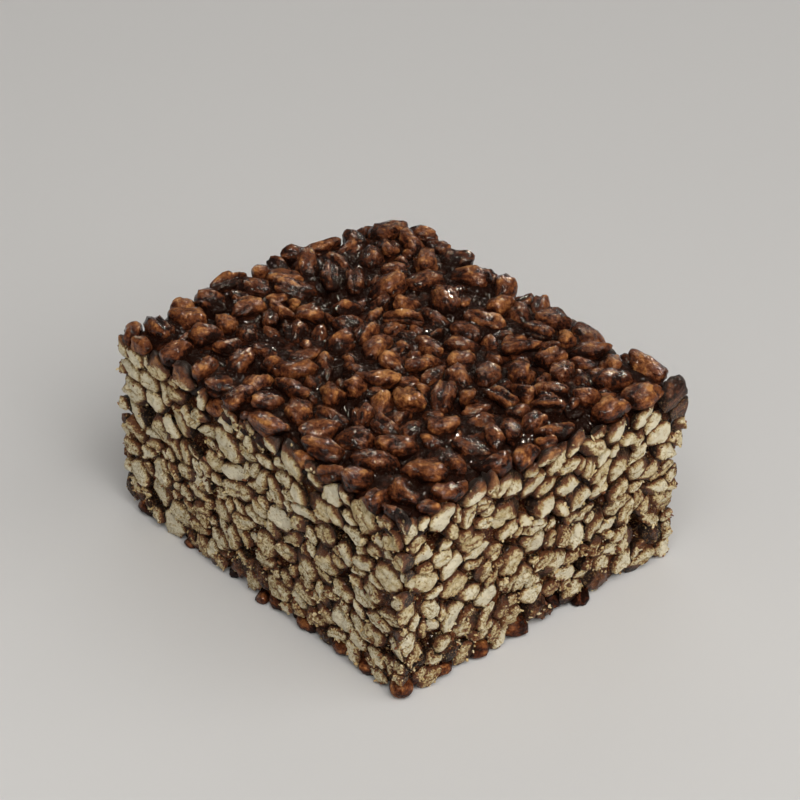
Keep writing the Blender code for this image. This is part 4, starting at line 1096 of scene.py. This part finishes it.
def gap_shade(points):
    """Painted shade in the gaps of the top, added to the depth that darkens the coat and the syrup: 0 at
    the crests, up to 4 low down in a gap.
    """
    shade = np.zeros(points.shape[:-1])
    for x, y, radius in TOP_GAPS:
        off = (points[..., 0] - x) ** 2 + (points[..., 1] - y) ** 2
        shade = np.maximum(shade, np.exp(-off / (radius + 0.6) ** 2))
    low = crest_height(points[..., 0], points[..., 1]) - points[..., 2]
    return 4.0 * shade * np.clip((low - 0.8) / 1.4, 0.0, 1.0)


def group(made, lot):
    """What new_piece needs of some grains, with the lot of each grain and the depth of each point, to
    which the painted shade of the gaps of the top is added.
    """
    points, local, rim, on_cut = made
    return points, local, rim, on_cut, lot, depth_below(points) + gap_shade(points)


def scatter_crumbs(spots, rng):
    """Crumbs of the knife on the rims of the cuts and, last in the spots, on the syrup between them."""
    places = np.concatenate([place for place, _ in spots])
    normals = np.concatenate([normal for _, normal in spots])
    chance = np.exp(-places[:, 2] / CRUMB_HEIGHT) + CRUMB_LEAST
    on_syrup = len(spots[-1][0])
    chance[-on_syrup:] *= CRUMBS_ON_SYRUP * (len(places) - on_syrup) / on_syrup
    for name, finish, count, size, stops in CRUMBS:
        chosen = rng.choice(len(places), count, replace=False, p=chance / chance.sum())
        sizes = size * rng.lognormal(0.0, CRUMB_SPREAD, count)
        points = crumbs(rng, places[chosen], normals[chosen], np.minimum(sizes, LARGEST_CRUMB))
        rim, on_cut = np.full(points.shape[:3], WHOLE), np.zeros(points.shape)
        new_piece(name, [(points, points, rim, on_cut, rng.uniform(size=count), depth_below(points))],
                  crumb_finish(finish, stops), smooth=False)


def dress():
    """Lay the grains as the solid does and make every piece."""
    heap = lay_grains()
    cut = cut_plane(heap, np.random.default_rng(SEED + 1))
    n = heap.count
    region, centre = heap.region[:n], heap.centre[:n]
    swell = np.select([region < SIDE, region < BOTTOM], [TOP_SWELL, SIDE_SWELL], BOTTOM_SWELL)
    heap.half[:n] *= swell[:, None]
    contacts = [np.concatenate(both, 1) for both in zip(contact_planes(heap), gap_planes(heap))]
    planes = [contacts, walls(heap)]
    rng = np.random.default_rng(SEED + 2)
    lot = rng.uniform(size=n)
    sideways = cut[2] & (np.abs(cut[0][:, 2]) < 0.5)
    sideways &= (region != TOP) | (centre[:, 2] < CUT_TOP - CUT_BELOW)
    sideways &= (centre < FAR_CORNER).any(1)
    facing = np.argmax(cut[0] @ np.stack([face[0] for face in FACES]).T, axis=1)
    knife_cut = ~(rng.uniform(size=n) < TORN_SHARE * np.exp(-(centre[:, 2] / TORN_HEIGHT) ** 2))
    knife_cut |= region == TOP
    glaze, puff = glaze_finish(), cut_finish()

    def whole(chosen, grid, *extra):
        """The group of the chosen grains, whole."""
        pick = np.nonzero(chosen)[0]
        return group(whole_grains(heap, pick, planes, *grid, rng, *extra), lot[pick])

    new_piece("glazed_grains_top", [whole((region == TOP) & ~sideways, TOP_GRID)], glaze)
    new_piece("glazed_grains_under", [whole((region == UNDER_TOP) & ~sideways, UNDER_GRID)], glaze)
    spots = []
    for face, name in enumerate(("front", "right", "back", "left")):
        pick = np.nonzero(sideways & (facing == face))[0]
        grid, caps = (FRONT_GRID, CAP_RINGS) if face < BACK else (BACK_GRID, BACK_CAP_RINGS)
        made = cut_grains(heap, pick, planes, cut, *grid, rng, knife_cut, caps)
        groups = [group(made, lot[pick])]
        loose = ~sideways & (region == SIDE + face)
        if loose.any():
            groups.append(whole(loose, UNDER_GRID))
        new_piece("cut_grains_" + name, groups, puff)
        rims = made[0][:, len(caps) - 3:len(caps) + 1].reshape(-1, 3)
        spots.append((rims, np.broadcast_to(FACES[face][0], rims.shape)))
    new_piece("pressed_grains_bottom",
              [whole(region == BOTTOM, UNDER_GRID, PRESSED_WRINKLE, FOOT_STANDS_OUT)], glaze)
    spots.append(syrup_core(heap, syrup_finish()))
    scatter_crumbs(spots, rng)


# Floor, light and camera: angles in degrees, counterclockwise from +X and up from the floor

AIM = np.array((-11.25, 10.16, 18.31)) * MILLIMETRE
AZIMUTH = -41.11
ELEVATION = 32.62
ROLL = 0.28
DISTANCE = 539.0 * MILLIMETRE
LENS = 135.0
SENSOR = 36.0
FLOOR_HALF = 3.0

# Lights on the surfaces: azimuth, elevation, distance, size, power
LIGHTS = {
    "key": (-32.0, 50.0, 1.1, 0.9, 8.2), "side": (20.0, 30.0, 1.3, 1.8, 12.6),
    "room": (-96.0, 35.0, 1.5, 1.8, 2.6), "back": (140.0, 18.0, 1.6, 1.2, 5.4),
    "fill": (-41.0, 84.0, 1.5, 2.2, 1.4),
}
LIGHT_COLOUR = (1.0, 0.99, 0.97)
# Small lights that show only as glints on the syrup: azimuth and elevation of each
GLINTS = [(-62.0, 58.0), (-12.0, 66.0), (95.0, 52.0), (165.0, 44.0), (120.0, 30.0), (-35.0, 40.0)]
GLINT_DISTANCE, GLINT_SIZE, GLINT_POWER = 1.2, 0.055, 2.4
GLINT_COLOUR = (1.0, 0.87, 0.72)
EVEN_COLOUR = (1.0, 0.98, 0.96, 1.0)
EVEN_STRENGTH = 0.04


def direction(azimuth, elevation):
    """Unit vector towards an azimuth and an elevation."""
    a, e = np.radians((azimuth, elevation))
    return np.array((np.cos(a) * np.cos(e), np.sin(a) * np.cos(e), np.sin(e)))


def stand(made, back, place, roll=0.0):
    """Put a camera or a light at a place, so that it looks against the back direction."""
    right = np.cross(-back, UP)
    right /= np.linalg.norm(right)
    up = np.cross(back, right)
    across = np.cos(roll) * right + np.sin(roll) * up
    above = np.cos(roll) * up - np.sin(roll) * right
    bpy.context.scene.collection.objects.link(made)
    rows = [tuple(row) for row in np.column_stack([across, above, back, place])]
    made.matrix_world = Matrix(rows + [(0.0, 0.0, 0.0, 1.0)])


def photo_camera():
    """The camera at the photograph's place, with a long lens."""
    data = bpy.data.cameras.new("photo_camera")
    data.lens, data.sensor_width, data.sensor_fit = LENS, SENSOR, "HORIZONTAL"
    data.clip_start, data.clip_end = 0.05, 20.0
    data.dof.use_dof = False
    made = bpy.data.objects.new("photo_camera", data)
    back = direction(AZIMUTH, ELEVATION)
    stand(made, back, AIM + back * DISTANCE, np.radians(ROLL))
    bpy.context.scene.camera = made


def floor():
    """A large sheet of paper under the block."""
    mesh = bpy.data.meshes.new("paper_floor")
    corners = [(x * FLOOR_HALF, y * FLOOR_HALF, 0.0) for x, y in ((-1, -1), (1, -1), (1, 1), (-1, 1))]
    mesh.from_pydata(corners, [], [(0, 1, 2, 3)])
    mesh.materials.append(floor_finish())
    made = bpy.data.objects.new("paper_floor", mesh)
    bpy.context.scene.collection.objects.link(made)


def soft_light(name, azimuth, elevation, distance, size, power, colour, glossy):
    """A square light that looks at the block: either it lights the surfaces or it shows as the gloss
    on them."""
    data = bpy.data.lights.new(name, "AREA")
    data.shape, data.size, data.energy, data.color = "SQUARE", size, power, colour
    made = bpy.data.objects.new(name, data)
    made.visible_glossy = glossy
    made.visible_diffuse = not glossy
    back = direction(azimuth, elevation)
    stand(made, back, back * distance)


def even_light():
    """Weak light from all round."""
    world = bpy.data.worlds.new("even_light")
    world.use_nodes = True
    plug(world.node_tree, world.node_tree.nodes["Background"],
         {"Color": EVEN_COLOUR, "Strength": EVEN_STRENGTH})
    bpy.context.scene.world = world


dress()
floor()
even_light()
for name, setting in LIGHTS.items():
    soft_light(name, *setting, LIGHT_COLOUR, glossy=False)
for number, (azimuth, elevation) in enumerate(GLINTS):
    soft_light("glint_%d" % number, azimuth, elevation, GLINT_DISTANCE, GLINT_SIZE, GLINT_POWER,
               GLINT_COLOUR, glossy=True)
photo_camera()
bpy.context.scene.view_settings.view_transform = "Standard"
